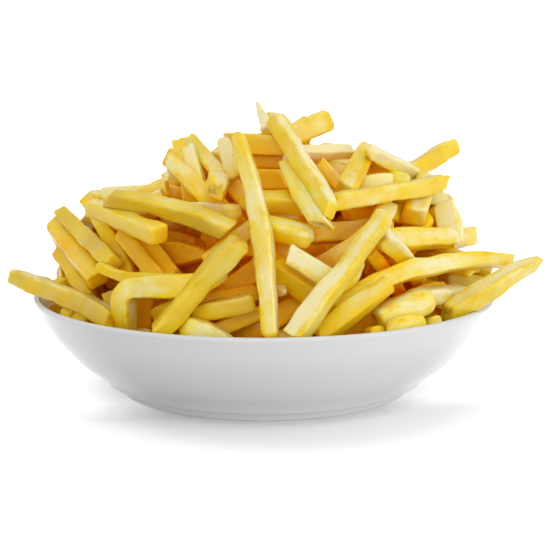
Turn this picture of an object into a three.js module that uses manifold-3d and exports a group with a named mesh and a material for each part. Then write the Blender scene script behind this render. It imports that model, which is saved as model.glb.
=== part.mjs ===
// A portion of french fries heaped in its shallow white porcelain bowl.
// Millimetres, +Z up. The origin is the middle of the bowl's foot, on the
// surface the bowl stands on. Two bodies: the bowl, and the heap of fries,
// which is one solid out to its uneven outline.
import * as THREE from 'three';
import { mergeVertices } from 'three/addons/utils/BufferGeometryUtils.js';
import Module from 'manifold-3d';

const wasm = await Module();
wasm.setup();

// ---- named sizes -----------------------------------------------------------
const SEGMENTS = 48;          // facets round the bowl
const RIM_RADIUS = 105;       // outside of the rim
const RIM_HEIGHT = 44.1;      // top of the rim above the table
const RIM_THICKNESS = 2.7;    // wall at the rounded rim
const FOOT_OUTER = 66.6;      // foot ring, outside
const FOOT_INNER = 61.4;      // foot ring, inside
const FOOT_HEIGHT = 4.5;      // foot ring up to the underside of the bowl
const RECESS = 2.6;           // hollow inside the foot ring
const FLOOR_Z = 8.2;          // inside bottom of the bowl
const GAP = 0.35;             // clear space between the fries and the glaze

// outside of the bowl from the foot to the rim, as [height, radius]
const OUTER = [[4.5, 72.8], [8, 75.8], [13, 82.3], [19, 89.3], [26, 95.6], [34, 100.9], [40, 103.7]];
// inside of the bowl from the floor to the rim, as [height, radius]
const INNER = [[8.2, 44], [9.0, 58], [11.4, 68], [15.5, 76.2], [21, 83.8], [27.5, 90.6], [34.5, 96.7], [40, 100.5]];

const FRY = 9.2;              // side of a common fry's square section
const HEAP_TOP = 116;         // top of the packed heap, before the fries that stick out
const HEAP_BASE = 44;         // where the heap leaves the bowl
const HEAP_RADIUS = 96;       // radius of the packed heap at that level
const CORE_SHRINK = 0.88;     // the body of the heap, under its outer fries
const ROOT = 12;              // how deep the middle of an outer fry runs into the body

// fries that set the outline: both ends of the axis, the side, and how far
// the middle bows up and out
const LONG_FRIES = [
  // left side, from the rim up
  [-114, -8, 52.5, -61, -71, 44, 8.6, 0],
  [-96, 8, 61, -72, -40, 42, 8.6, 0],
  [-98, 11, 72.5, -70, -48, 56.5, 9.4, 0],
  [-93, 6, 79, -64, -53, 64.5, 8.6, 0],
  [-80, -5, 87, -55, -49, 53.5, 8.6, 0],
  [-75, -32, 87, -42, -66, 78.5, 9, 0],
  [-67, -44, 91.5, -13, -74, 81.5, 8.6, 3],
  [-72, -1, 87, -30, -10, 85, 8.6, 0],
  [-42, -32, 106.5, -7, -40, 71, 9.4, 2],
  [-33, -12, 114, -7, -26, 77, 8.2, 2],
  // middle, standing highest
  [-17, -33, 116, -8, -20, 66, 8.4, 0],
  [-11, -54, 119.5, 3, -95, 42, 8.8, 4],
  [4, -41, 125.5, 27, -80, 91, 9.4, 1],
  [-3, 8, 128.5, 6, -34, 112, 6.6, 0],
  [-6, -2, 99, 30, 7, 121, 10, 1],
  [-3, -20, 102, 39, -12, 108.5, 8.6, 1],
  // right side, from the top down
  [50, 4, 109.5, 34, -46, 94, 9, 0],
  [45, -30, 110, 78, 23, 87, 8.6, 0],
  [58, 8, 88, 91, 41, 106, 8.4, 0],
  [27, -65, 92, 81, 0, 93, 8.6, 0],
  [82, -5, 85, 89, 0, 39, 10, 0],
  [66, -8, 64, 101, 25, 64, 9.2, 0],
  [36, -37, 67, 85, -23, 71, 9.2, 0],
  [27, -83, 52, 108, -23, 61.5, 8.8, 5],
  [75, -58, 45.5, 118, -45, 65.8, 8.4, 0],
  [51, -70, 88, 12, -95, 43, 9.6, 1],
  [52, -75, 60.5, 22, -88, 43.5, 9.4, 0],
  // lower front
  [-42, -83, 42.5, -9, -83, 78, 9.4, 0],
  [-61, -68, 56, -11, -72, 57, 9, 2],
  [-28, -76, 48, 0, -80, 54, 8.8, 0],
  [10, -80, 73, 45, -50, 40, 9.2, 0],
];

// fries lying round the rest of the heap: a ring of them at each height, as
// [height, number, steepest slope in degrees]
const TIERS = [
  [51, 10, 25], [62, 9, 38], [74, 9, 42], [86, 8, 42], [98, 7, 35], [108, 5, 20],
];
const FRONT_ARC = 0.26;       // share of a ring, at the front, left to the long fries

// ---- helpers ---------------------------------------------------------------
// repeatable scatter between -1 and 1
let seed = 20611;
function scatter() {
  seed = (Math.imul(seed, 1664525) + 1013904223) >>> 0;
  return seed / 2147483648 - 1;
}

// a geometry as bare triangles on shared vertices, facing outwards
function closed(geometry) {
  const bare = geometry.clone();
  bare.deleteAttribute('normal');
  bare.deleteAttribute('uv');
  const merged = mergeVertices(bare, 1e-4);
  const p = merged.attributes.position;
  const a = new THREE.Vector3(), b = new THREE.Vector3(), c = new THREE.Vector3();
  const kept = [];
  let volume = 0;
  for (let i = 0; i < merged.index.count; i += 3) {
    const [u, v, w] = [0, 1, 2].map((k) => merged.index.getX(i + k));
    if (u === v || v === w || w === u) continue;
    a.fromBufferAttribute(p, u); b.fromBufferAttribute(p, v); c.fromBufferAttribute(p, w);
    volume += a.dot(b.clone().cross(c)) / 6;
    kept.push(u, v, w);
  }
  if (volume < 0) for (let i = 0; i < kept.length; i += 3) [kept[i + 1], kept[i + 2]] = [kept[i + 2], kept[i + 1]];
  merged.setIndex(kept);
  return merged;
}

function toSolid(geometry) {
  const g = closed(geometry);
  return new wasm.Manifold(new wasm.Mesh({
    numProp: 3,
    vertProperties: new Float32Array(g.attributes.position.array),
    triVerts: new Uint32Array(g.index.array),
  }));
}

function toGeometry(solid) {
  const mesh = solid.getMesh();
  const g = new THREE.BufferGeometry();
  g.setAttribute('position', new THREE.BufferAttribute(new Float32Array(mesh.vertProperties), 3));
  g.setIndex(new THREE.BufferAttribute(new Uint32Array(mesh.triVerts), 1));
  return g;
}

// a profile of [radius, height] turned round the Z axis
function turned(profile, segments = SEGMENTS) {
  const g = new THREE.LatheGeometry(profile.map(([r, z]) => new THREE.Vector2(r, z)), segments);
  g.rotateX(Math.PI / 2);
  return g;
}

// ---- bowl ------------------------------------------------------------------
// profile of the bowl grown outwards by `grow`, from the axis under the foot,
// up the outside, over the rounded rim and down the inside to the axis
function bowlProfile(grow = 0) {
  const half = RIM_THICKNESS / 2, mid = RIM_RADIUS - half;
  const rim = [];
  for (let k = 0; k <= 4; k++) {
    const t = (k / 4) * Math.PI;
    rim.push([mid + Math.cos(t) * (half + grow), RIM_HEIGHT - half + Math.sin(t) * (half + grow)]);
  }
  const inward = INNER.map(([z, r], i) => {
    const [z0, r0] = INNER[Math.max(0, i - 1)], [z1, r1] = INNER[Math.min(INNER.length - 1, i + 1)];
    const n = Math.hypot(z1 - z0, r1 - r0);
    return [r - (grow * (z1 - z0)) / n, z + (grow * (r1 - r0)) / n];
  });
  return [
    [0, RECESS - grow], [FOOT_INNER - 2 - grow, RECESS - grow], [FOOT_INNER - grow, -grow],
    [FOOT_OUTER + grow, -grow], [FOOT_OUTER - 0.6 + grow, FOOT_HEIGHT - 1.2],
    ...OUTER.map(([z, r], i) => [r + grow, i === 0 ? z - grow : z]),
    ...rim,
    ...inward.reverse(),
    [0, FLOOR_Z + grow],
  ];
}
const bowlGeometry = closed(turned(bowlProfile()));

// ---- heap of fries -----------------------------------------------------------
// one fry of the outline: a square stick from a to b, slimmer at its ends and
// eased to a bow in the middle, whose underside runs into the heap
function fry(ax, ay, az, bx, by, bz, side, bow = 0) {
  const a = new THREE.Vector3(ax, ay, az), b = new THREE.Vector3(bx, by, bz);
  const along = b.clone().sub(a), length = along.length();
  along.normalize();
  const out = new THREE.Vector3((ax + bx) / 2, (ay + by) / 2, 0).normalize().multiplyScalar(0.7);
  out.z = 0.7;
  out.addScaledVector(along, -out.dot(along)).normalize();
  const across = new THREE.Vector3().crossVectors(out, along);
  const g = new THREE.BoxGeometry(side, side, length, 1, 1, bow > 2 ? 4 : 2);
  const p = g.attributes.position;
  for (let i = 0; i < p.count; i++) {
    const t = p.getZ(i) / length;
    const middle = 1 - 4 * t * t;
    const slim = 1 - 0.1 * Math.abs(t);
    const root = p.getY(i) < 0 ? ROOT * middle : 0;
    p.setXYZ(i, p.getX(i) * slim, p.getY(i) * slim + bow * middle - root, p.getZ(i));
  }
  g.applyMatrix4(new THREE.Matrix4().makeBasis(across, out, along).setPosition(a.add(b).multiplyScalar(0.5)));
  return toSolid(g);
}

// radius of the heap at a height, on the side that faces `angle`: the heap is
// a dome that stands steeper on +X than on -X
function heapRadius(z, angle) {
  const rise = Math.min(1, Math.max(0, (z - HEAP_BASE) / (HEAP_TOP - HEAP_BASE)));
  const lean = 1 + 0.08 * rise * Math.cos(angle) * (1 + Math.cos(angle)) - 0.07 * rise * (1 - Math.cos(angle));
  return HEAP_RADIUS * Math.pow(1 - Math.pow(rise, 2.1), 0.5) * lean;
}

// the body of the heap: it fills the bowl up to GAP from the glaze, then rises
// as a lumpy dome under the outer fries
function core() {
  const rings = [];
  const wall = bowlProfile(GAP + 0.25).slice(-INNER.length - 1).reverse(); // axis to rim
  for (const [r, z] of wall.slice(1, -1)) rings.push({ z, r: () => r });
  for (let k = 0; k <= 7; k++) {
    const z = 42 + (HEAP_TOP - 8 - 42) * Math.sin((k / 7) * Math.PI / 2);
    rings.push({ z, r: (t) => CORE_SHRINK * (heapRadius(z + 6, t) + (k === 0 ? 6 : 0)) + 2.2 * Math.sin(5 * t + k) + 1.6 * Math.cos(9 * t - 2 * k) });
  }
  const n = 32, position = [0, 0, wall[0][1]], index = [];
  for (const { z, r } of rings) {
    for (let j = 0; j < n; j++) {
      const t = (2 * Math.PI * j) / n, rr = Math.max(3, r(t));
      position.push(rr * Math.cos(t), rr * Math.sin(t), z);
    }
  }
  const top = position.length / 3;
  position.push(2, 0, rings[rings.length - 1].z + 1.5);
  for (let j = 0; j < n; j++) {
    const k = (j + 1) % n, last = 1 + (rings.length - 1) * n;
    index.push(0, 1 + k, 1 + j, top, last + j, last + k);
    for (let i = 0; i < rings.length - 1; i++) {
      const low = 1 + i * n, high = low + n;
      index.push(low + j, low + k, high + k, low + j, high + k, high + j);
    }
  }
  const g = new THREE.BufferGeometry();
  g.setAttribute('position', new THREE.Float32BufferAttribute(position, 3));
  g.setIndex(index);
  return toSolid(g);
}

// fries in rings round the dome, lying on it at uneven slopes
function tiers() {
  const fries = [];
  for (const [z, count, steep] of TIERS) {
    for (let k = 0; k < count; k++) {
      const angle = -Math.PI / 2 + Math.PI * (2 * FRONT_ARC / 2 + (2 - FRONT_ARC * 2) * (k + 0.5 + 0.25 * scatter()) / count) ;
      const r = heapRadius(z, angle) - 7 + 2 * scatter();
      const slope = (steep * scatter() * Math.PI) / 180;
      const swing = 0.3 * scatter();
      const half = 36 + 7 * scatter();
      const level = Math.cos(slope) * half, up = Math.sin(slope) * half;
      const tx = -Math.sin(angle + swing), ty = Math.cos(angle + swing);
      const tuck = 0.32 * Math.abs(up);          // both ends follow the dome
      const ends = [-1, 1].map((s) => {
        let x = r * Math.cos(angle) + s * level * tx, y = r * Math.sin(angle) + s * level * ty;
        const h = Math.max(50, z + s * up);
        const reach = Math.hypot(x, y), most = Math.min(100, heapRadius(h, Math.atan2(y, x)) + 9 - tuck * 0.2);
        if (reach > most) { x *= most / reach; y *= most / reach; }
        return [x, y, Math.min(h, 124)];
      });
      fries.push(fry(...ends[0], ...ends[1], FRY + 0.6 * scatter()));
    }
  }
  return fries;
}

function heap() {
  const longFries = LONG_FRIES.map((f) => fry(...f));
  const joined = wasm.Manifold.union([core(), ...longFries, ...tiers()]);
  const clear = joined.subtract(toSolid(turned(bowlProfile(GAP))));
  const whole = clear.decompose().sort((a, b) => b.volume() - a.volume())[0];
  return toGeometry(whole);
}
const heapGeometry = closed(heap());

// ---- the part ----------------------------------------------------------------
const porcelain = new THREE.MeshStandardMaterial({ color: 0xf3f3f2, roughness: 0.18, metalness: 0 });
const potato = new THREE.MeshStandardMaterial({ color: 0xeccb62, roughness: 0.5, metalness: 0 });

const bowl = new THREE.Mesh(bowlGeometry, porcelain);
bowl.name = 'bowl';
const fries = new THREE.Mesh(heapGeometry, potato);
fries.name = 'fries';

const part = new THREE.Group();
part.name = 'french_fries_portion';
part.add(bowl, fries);
export default part;
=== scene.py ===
"""A family portion of french fries heaped in a white porcelain bowl.

Distances in the tables and in the mesh functions are millimetres in the row frame; meshes are written in metres.
"""

import math

import bpy
import numpy as np
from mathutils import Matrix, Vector
from mathutils.bvhtree import BVHTree


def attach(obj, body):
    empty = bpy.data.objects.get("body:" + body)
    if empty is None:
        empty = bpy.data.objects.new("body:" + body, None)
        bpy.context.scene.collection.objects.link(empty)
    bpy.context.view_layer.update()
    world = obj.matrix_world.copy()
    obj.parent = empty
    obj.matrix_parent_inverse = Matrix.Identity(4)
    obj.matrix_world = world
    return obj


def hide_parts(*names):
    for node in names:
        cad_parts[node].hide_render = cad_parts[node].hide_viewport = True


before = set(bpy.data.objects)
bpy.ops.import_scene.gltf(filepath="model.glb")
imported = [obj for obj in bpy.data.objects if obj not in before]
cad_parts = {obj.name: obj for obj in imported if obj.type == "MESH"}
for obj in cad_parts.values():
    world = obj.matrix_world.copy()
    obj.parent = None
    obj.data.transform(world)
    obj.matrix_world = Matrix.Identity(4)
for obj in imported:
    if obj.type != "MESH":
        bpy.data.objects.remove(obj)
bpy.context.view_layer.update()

MM = 0.001
SEED = 20

# Bowl, as in the CAD: (height, radius) down the outside and up the inside.
OUTER = [(4.5, 72.8), (8, 75.8), (13, 82.3), (19, 89.3), (26, 95.6), (34, 100.9), (40, 103.7)]
INNER = [(8.2, 44), (9.0, 58), (11.4, 68), (15.5, 76.2), (21, 83.8), (27.5, 90.6), (34.5, 96.7), (40, 100.5)]
RIM_Z, RIM_R, RIM_HALF, RIM_TOP = 42.75, 103.65, 1.35, 44.1

# Fries of the shown side: name, centre line, side at the two ends and the middle, one section axis, tone from
# cream 0 to golden 1, share of olive skin (negative: on the cut ends only), an offset to its openness, which gives it
# less painted shade when positive and more when negative, and the two ends (f flat, s slanted, u and d slanted to the
# longer and shorter side of the axis, r rounded, b bulging, p pointed).
SHOWN = [
    ('A', [(-114.4, -8.1, 52.1), (-105.1, -18.2, 50.9), (-95.8, -28.4, 49.9), (-86.7, -38.7, 48.9), (-77.9, -49.2, 47.5), (-69.5, -60, 45.7), (-61.4, -71, 43.5)], (7.6, 8.4, 9), (0.24,0.11,0.96), 0.54, 0.65, 0.04, 'rf'),
    ('B', [(-94.5, 0, 61.9), (-90.5, -7.7, 58.8), (-86.5, -15.4, 55.9), (-82.5, -23.2, 53), (-78.5, -31.1, 50.2), (-74.5, -37.5, 46.3), (-72.1, -33.7, 39.5)], (6.4, 6.2, 6.1), (0.63,0.02,0.78), 0.89, 0.00, 0.04, 'ff'),
    ('C', [(-97.9, 12.2, 72.2), (-83.8, -18.5, 64.2), (-70.3, -49.6, 57.3)], (8.8, 8.8, 8.8), (0.85,0.28,0.45), 0.95, 0.00, 0.04, 'sf'),
    ('D', [(-93.6, 9.3, 78.6), (-78.2, -22.9, 71.4), (-63.5, -55.6, 65.1)], (6.5, 7.5, 8.4), (0.72,0.19,0.67), 0.73, 0.50, 0.04, 'sf'),
    ('E', [(-79.3, -10.6, 87.5), (-74.6, -18.2, 81.8), (-70, -25.8, 76.1), (-65.6, -33.6, 70.4), (-61.3, -41.4, 64.7), (-57.4, -47.3, 58), (-56.2, -41.4, 50.7)], (5.8, 6.5, 7), (0.80,0.05,0.60), 0.68, 0.00, 0.04, 'rf'),
    ('F', [(-74.6, -33.6, 86.8), (-58, -53.4, 83.1), (-41.8, -73.7, 79.6)], (7.6, 8.2, 8.8), (-0.05,-0.23,0.97), 0.56, 0.15, 0.04, 'ff'),
    ('G', [(-66.3, -45.5, 91.7), (-52.5, -52.6, 90.7), (-39.1, -60, 88.9), (-26, -67.7, 86), (-13.4, -75.6, 82)], (6.4, 7.6, 8.4), (-0.12,-0.33,0.94), 0.62, 0.70, 0.04, 'ss'),
    ('H1', [(-71.6, -3.3, 88.1), (-63.2, -8.8, 89.1), (-54.7, -14.4, 90), (-46.3, -20, 91), (-37.8, -19.1, 90), (-37, -9.9, 87.3), (-38.8, -0.3, 84.7)], (8.4, 8.1, 8.1), (-0.04,0.11,0.99), -0.08, 0.00, 0.04, 'ff'),
    ('H2', [(-83.3, 12, 69.9), (-78.9, 2.8, 74.4), (-74.3, -6.4, 78.9), (-68.2, -14.6, 83.3), (-60.2, -21.3, 87.4), (-50.9, -26.5, 91), (-41.5, -31.3, 94.5)], (8.1, 8.1, 8), (-0.43,0.22,0.87), 0.39, 0.00, 0.16, 'ff'),
    ('H3', [(-69.6, -25.4, 84), (-65.4, -28.4, 84.6), (-61.2, -31.4, 85.1), (-56.8, -34, 86), (-52.3, -35.9, 87.5), (-47.7, -37.1, 89.5), (-43.2, -37.5, 92)], (7.9, 7.9, 7.9), (-0.18,-0.07,0.98), -0.04, 0.00, 0.04, 'ff'),
    ('I', [(-41.4, -35.5, 106.9), (-34.3, -39.7, 100.8), (-27.2, -43.9, 94.6), (-20.1, -48.2, 88.5), (-12.8, -49.9, 81.9), (-7.1, -44.5, 75.6), (-2.9, -36.6, 70.5)], (7, 8.5, 8.7), (0.72,0.27,0.64), 0.49, 0.00, 0.04, 'sf'),
    ('J', [(-36.9, -8.2, 110.6), (-34.7, -17.2, 104.5), (-32.5, -25.4, 97.6), (-30.9, -28.7, 87.6), (-30.5, -25.1, 77.5), (-30.8, -17.8, 69.2), (-31.3, -10.2, 61.2)], (8.3, 8.1, 8.1), (0.97,0.08,0.23), 0.45, 0.00, 0.04, 'ff'),
    ('K', [(-33, -16.9, 114.8), (-29.3, -22, 111.2), (-25.7, -27.1, 107.7), (-22, -32.2, 104.1), (-18.4, -37.4, 100.6), (-19, -40.5, 96.5), (-23.4, -36.9, 97.5)], (6.2, 6.3, 6.4), (0.76,0.10,0.64), 0.16, 0.25, 0.04, 'rf'),
    ('K2', [(-32.9, -27.4, 111.8), (-30.1, -31.6, 104), (-27.3, -35, 96.1), (-24.8, -35.1, 87.4), (-23.1, -30.9, 79.5), (-22, -24.4, 73.1), (-21.1, -17.8, 66.9)], (6.1, 6.4, 6.4), (0.87,-0.23,0.43), 0.10, 0.00, 0.04, 'ff'),
    ('Le', [(-19.6, -67.4, 97.6), (-19.4, -58.3, 98.7), (-19.1, -49.3, 99.8)], (8.5, 8.7, 8.8), (-0.96,-0.01,0.29), 0.36, -0.90, 0.04, 'ff'),
    ('M', [(-43.2, 23.3, 87.3), (-41.4, 14.2, 91), (-39.4, 5.2, 94.7), (-35.8, -3.3, 98.3), (-30.1, -10.7, 101.6), (-23, -17, 104.5), (-15.7, -23.2, 107.4)], (8.2, 8.2, 8.1), (-0.41,0.27,0.87), 0.21, 0.00, 0.12, 'ff'),
    ('N1', [(-17.4, -34.5, 116.2), (-16.6, -36.3, 113.3), (-15.8, -38.1, 110.4), (-15, -39.9, 107.6), (-14.2, -41.7, 104.7), (-13.4, -43.5, 101.8), (-11.9, -44.3, 99.6)], (5.6, 6.2, 6.3), (0.97,0.05,0.24), -0.03, 0.30, 0.12, 'rf'),
    ('O', [(-11.2, -57.9, 120.1), (-6.7, -64.6, 107.5), (-3, -71.3, 94.7), (-0.6, -78.1, 81.6), (0.9, -85.1, 68.5), (2, -92.1, 55.3), (3.2, -99.1, 42.2)], (5.2, 8.5, 6), (0.91,-0.11,0.40), 0.36, 0.12, 0.04, 'rr'),
    ('P', [(-30, -6.6, 88.3), (-27.1, -13, 93), (-23.9, -19.6, 97.2), (-19.9, -26.7, 99), (-15.2, -33.4, 96.9), (-10.7, -39.1, 92.6), (-6.2, -44.9, 88.2)], (7.8, 7.8, 7.6), (0.47,0.65,0.60), 0.59, 0.00, 0.50, 'ff'),
    ('Q', [(-42.1, -23.2, 82.7), (-40, -32.2, 84), (-37.6, -41, 85.3), (-32.7, -48.8, 86.3), (-25.7, -54.7, 86.9), (-17.4, -58.9, 87.3), (-9.2, -63.2, 87.7)], (8.8, 8.8, 8.6), (0.01,0.15,0.99), 0.08, 0.00, 0.45, 'fr'),
    ('R', [(-42.4, -87.8, 42.5), (-25.7, -89.5, 61.2), (-9, -91.4, 79.9)], (8.4, 8.3, 9), (-0.73,-0.26,0.63), 0.51, 0.35, 0.04, 'ff'),
    ('T', [(-23.7, -64.2, 67.4), (-14.4, -62.8, 74.2), (-5.2, -61.4, 81), (4, -56.7, 85.7), (10, -47.3, 85), (11.7, -37.1, 80), (12.7, -27, 74.5)], (7.4, 7.4, 7.4), (-0.60,0.10,0.79), 0.42, 0.00, 0.14, 'ff'),
    ('V1', [(-56.1, -69, 37.2), (-56.7, -71.5, 45.3), (-57, -72.6, 49.7), (-57.1, -73.2, 53.2), (-55.5, -73.6, 56.5), (-52.2, -74.2, 57.9), (-48, -76, 58.4), (-42.4, -79.2, 59.2), (-22.5, -82.5, 62.6), (-16.7, -74.7, 65.8)], (6.8, 9.7, 7.4), (0.89,-0.45,0.00), 0.44, 0.00, 0.18, 'fr'),
    ('V3', [(-66.7, -42.4, 50.7), (-63.7, -46.3, 43.2), (-60.8, -48.5, 35), (-59.3, -44.5, 27.5), (-59.7, -36.5, 23.7), (-61.1, -27.7, 22.7), (-62.5, -18.8, 21.7)], (8, 7.9, 7.9), (0.94,0.17,0.29), 0.27, 0.00, 0.04, 'ff'),
    ('W', [(-69.8, -57, 65.2), (-64.5, -59.5, 62.9), (-57.6, -63.5, 61), (-46.1, -67.9, 60.7), (-34.7, -72.4, 61.1), (-22.8, -74.6, 61.5), (-20.6, -63.2, 61.2)], (4.6, 6.4, 7), (0.03,0.18,0.98), 0.64, 0.30, 0.04, 'rf'),
    ('X1', [(-60.8, -47.6, 77.5), (-54.8, -52.3, 71.2), (-48.8, -57, 65), (-42.8, -61.6, 58.7), (-36.1, -59.2, 53.1), (-33.6, -50.1, 52.6), (-32.8, -40.3, 53.5)], (8, 7.9, 7.9), (0.77,0.17,0.61), 0.94, 0.35, 0.04, 'sf'),
    ('X2', [(-71.7, -10.6, 62.6), (-67.3, -18.4, 69.8), (-62.2, -26.7, 75.8), (-55.7, -35.8, 76.5), (-49, -43.8, 71.8), (-42.6, -51.5, 66.2), (-36.1, -59.2, 60.7)], (6.4, 6.4, 6.7), (0.40,0.73,0.55), 0.87, 0.45, -0.15, 'ff'),
    ('Y', [(-66.3, -1.5, 58.4), (-62.2, -12.2, 61.3), (-56.9, -22.5, 63.8), (-49.3, -31.4, 65.5), (-40.8, -39.6, 66.8), (-32.4, -47.9, 68.1), (-24.1, -56.2, 69.5)], (8, 10, 8.6), (-0.05,0.24,0.97), 0.68, 0.50, 0.02, 'rp'),
    ('Y2', [(-69.9, 5.4, 72.5), (-66, -4.4, 74), (-61.2, -13.9, 75.1), (-54.1, -21.9, 74.7), (-45.4, -27.7, 73), (-36.4, -33.3, 71.1), (-27.5, -39, 69.2)], (8.1, 8.1, 8), (0.24,0.24,0.94), 0.51, 0.50, 0.10, 'ff'),
    ('Z1', [(-87.6, -41.5, 40.3), (-79.9, -47.9, 40.1), (-72.2, -54.3, 39.9)], (8, 7.9, 7.8), (0.21,0.23,0.95), 0.79, 0.00, 0.04, 'rf'),
    ('AA', [(-33, -85.6, 45.8), (-21.2, -87.7, 41.7), (-12.4, -89.1, 37.1)], (9.4, 8.8, 7.4), (0.47,0.04,0.88), 0.37, 0.00, 0.04, 'rf'),
    ('AB', [(-43.7, -48.4, 37.1), (-42.8, -58, 41.7), (-40.7, -67.2, 46.5), (-33.1, -72.4, 50.9), (-23, -70.1, 52.4), (-13.1, -66.2, 53.2), (-3.1, -62.4, 54)], (7.6, 7.6, 7.7), (-0.40,0.37,0.84), 0.61, 0.00, 0.18, 'ff'),
    ('AC', [(-28.1, -77.9, 48.7), (-15.7, -79.9, 51.3), (-3.3, -81.8, 54)], (7.4, 7.3, 7.3), (-0.21,0.01,0.98), 0.69, 0.45, 0.04, 'ff'),
    ('AD', [(-44.5, -45, 19.6), (-42.1, -55.6, 24.4), (-39.1, -66, 29.3), (-32.1, -73.8, 34.9), (-21.9, -76.7, 40), (-10.8, -76, 44.3), (0.3, -75.3, 48.6)], (7.3, 7.3, 6.5), (-0.46,0.27,0.84), 0.82, 0.00, 0.04, 'ff'),
    ('AE', [(-35.9, -38.5, 33.6), (-32.4, -45.8, 38.4), (-28.5, -52.7, 43.3), (-22.6, -57.2, 49), (-15.2, -58.2, 54.6), (-7.5, -57, 59.9), (0.2, -55.8, 65.2)], (9.2, 9.2, 9.2), (-0.64,0.18,0.75), 0.75, 0.00, 0.04, 'ff'),
    ('AG', [(1, -54, 56.8), (4.2, -67, 57.2), (8.6, -80.5, 57.6)], (7.8, 7.8, 7), (0.90,0.30,0.10), 0.12, 0.00, 0.45, 'fp'),
    ('AH', [(-20.3, -49.2, 22.2), (-16.6, -56.3, 27), (-12.6, -63.2, 31.9), (-6.6, -67.7, 37.3), (0.9, -68.7, 42.4), (8.9, -66.5, 46.7), (16.8, -64.1, 51)], (9.1, 9.1, 9.1), (-0.59,0.22,0.78), 0.88, 0.00, 0.00, 'ff'),
    ('AI', [(50.3, -75.1, 89.2), (31.3, -86, 66.1), (12.3, -97.1, 43)], (6.6, 7.5, 9.2), (0.76,-0.52,-0.38), 0.32, 0.20, 0.04, 'rf'),
    ('AJ', [(48.5, -68.1, 79.2), (53.3, -59.7, 73.7), (58.3, -51.4, 68), (63, -43, 62.4), (65.7, -33.6, 57.2), (65.9, -23.3, 53), (65.1, -12.9, 49)], (7.8, 8.1, 8.1), (0.80,-0.07,0.59), 0.14, 0.00, 0.10, 'rf'),
    ('AK', [(27, -79.4, 50.7), (39, -70.5, 56.3), (51.8, -62.1, 60.5), (65.3, -54, 63), (79.2, -46.4, 64.3), (93.3, -39.1, 64.1), (107.5, -32.2, 62.5)], (7.2, 8, 5.8), (-0.56,0.18,0.81), 0.44, 0.00, 0.04, 'fs'),
    ('AL', [(51.4, -76.8, 60.9), (36.7, -81.9, 50.8), (22, -87, 40.7)], (7.9, 7.9, 7.8), (0.60,-0.50,-0.62), 0.56, 0.20, 0.04, 'ff'),
    ('AN', [(77.2, -52.8, 41.5), (84, -51.3, 45.6), (90.8, -49.7, 49.7), (97.6, -48.2, 54.2), (104.5, -46.6, 58.6), (110.6, -45.3, 61.1), (117.2, -44, 63.4)], (8.4, 8.8, 5.6), (-0.38,-0.47,0.80), 0.28, 0.30, 0.04, 'su'),
    ('AO', [(83.1, -1.8, 47.9), (86.7, -1.6, 47.6), (90.3, -1.5, 47.3), (93.8, -1.3, 47), (97.4, -1.2, 46.6), (100.9, -0.8, 46.2), (102.3, 1.8, 44.7)], (8.5, 8.5, 8.5), (0.08,0.17,0.98), 0.31, 0.25, 0.50, 'ff'),
    ('AP', [(54.2, -52.9, 17.8), (54.8, -57, 28.9), (56.2, -60.4, 40.1), (62.7, -57.7, 48.9), (71.2, -49.9, 50.2), (79.4, -41.4, 49.1), (87.7, -33.1, 48.1)], (8.4, 8.6, 8.8), (-0.85,-0.50,-0.14), -0.02, 0.00, 0.15, 'fr'),
    ('AQ', [(46.9, -74, 44.1), (58.7, -68.3, 48.3), (70.5, -62.7, 52.4)], (10, 11.8, 11.6), (-0.35,0.06,0.93), 0.24, 0.00, 0.04, 'fb'),
    ('AR', [(50.3, -83.2, 42.8), (58.3, -77.2, 43.2), (66.4, -71.2, 43.6)], (7, 7.8, 7.6), (-0.21,0.22,0.95), 0.43, 0.00, 0.04, 'bb'),
    ('AS', [(67.3, -67.6, 40.8), (70.5, -64.6, 40.8), (73.7, -61.5, 40.8)], (7.7, 7.7, 7.7), (-0.21,0.22,0.95), 0.17, 0.00, 0.04, 'rr'),
    ('AT', [(41.6, -80.8, 39.1), (45.6, -78.7, 39.2), (49.6, -76.5, 39.4)], (7.5, 7.5, 7.5), (-0.16,0.22,0.96), 0.67, 0.00, 0.04, 'rr'),
    ('AV', [(46.2, -35.2, 59.6), (44.5, -44.2, 66.1), (48.1, -49.8, 72.6), (57.5, -44.5, 73.4), (66.4, -37.7, 72.6), (75.3, -30.9, 71.8), (84.4, -24.3, 71)], (8.9, 8.9, 8.8), (-0.62,0.53,0.57), 0.47, 0.00, 0.04, 'fr'),
    ('AW', [(63.5, 2.6, 63.4), (66.6, -6.3, 66.9), (73.9, -8.6, 69.3), (80.1, -1.7, 68.5), (85.9, 6.4, 67.2), (91.7, 14.5, 65.9), (97.7, 22.6, 64.6)], (9, 9.1, 9.5), (-0.31,0.25,0.92), 0.55, 0.00, 0.04, 'fr'),
    ('AX', [(81.6, -7.8, 85.4), (82, -9.5, 82.5), (82.3, -11.2, 79.6), (82.7, -12.8, 76.8), (83, -14.5, 73.9), (83.2, -16.1, 71), (83.1, -17.1, 67.8)], (9.3, 10.8, 10.8), (0.94,-0.24,0.25), 0.12, 0.00, 0.04, 'rf'),
    ('AY', [(65.4, -28, 81.3), (66.8, -22.9, 83.6), (68.2, -17.9, 85.9), (69.6, -12.8, 88.2), (71, -7.8, 90.6), (72.9, -2.9, 92.6), (76.3, 1.6, 92.7)], (10.9, 9.7, 9), (-0.95,0.13,0.29), 0.59, 0.25, 0.30, 'fs'),
    ('AZ', [(27.2, -66.3, 92.6), (40.2, -52.1, 92.5), (53.3, -38, 92.8), (66.7, -24.2, 93.5), (80.2, -10.5, 94.7)], (7.1, 7.2, 7.3), (0.00,0.01,1.00), 0.65, 0.20, 0.04, 'fs'),
    ('BB', [(15.6, -42, 73.4), (11.4, -51.6, 75.7), (17.9, -55.4, 77.9), (27, -49.7, 77.5), (36.2, -44, 77.1), (45.4, -38.5, 76.7), (54.6, -32.9, 76.3)], (8.3, 8.4, 8.7), (-0.18,0.31,0.93), 0.41, 0.20, 0.28, 'ff'),
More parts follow.
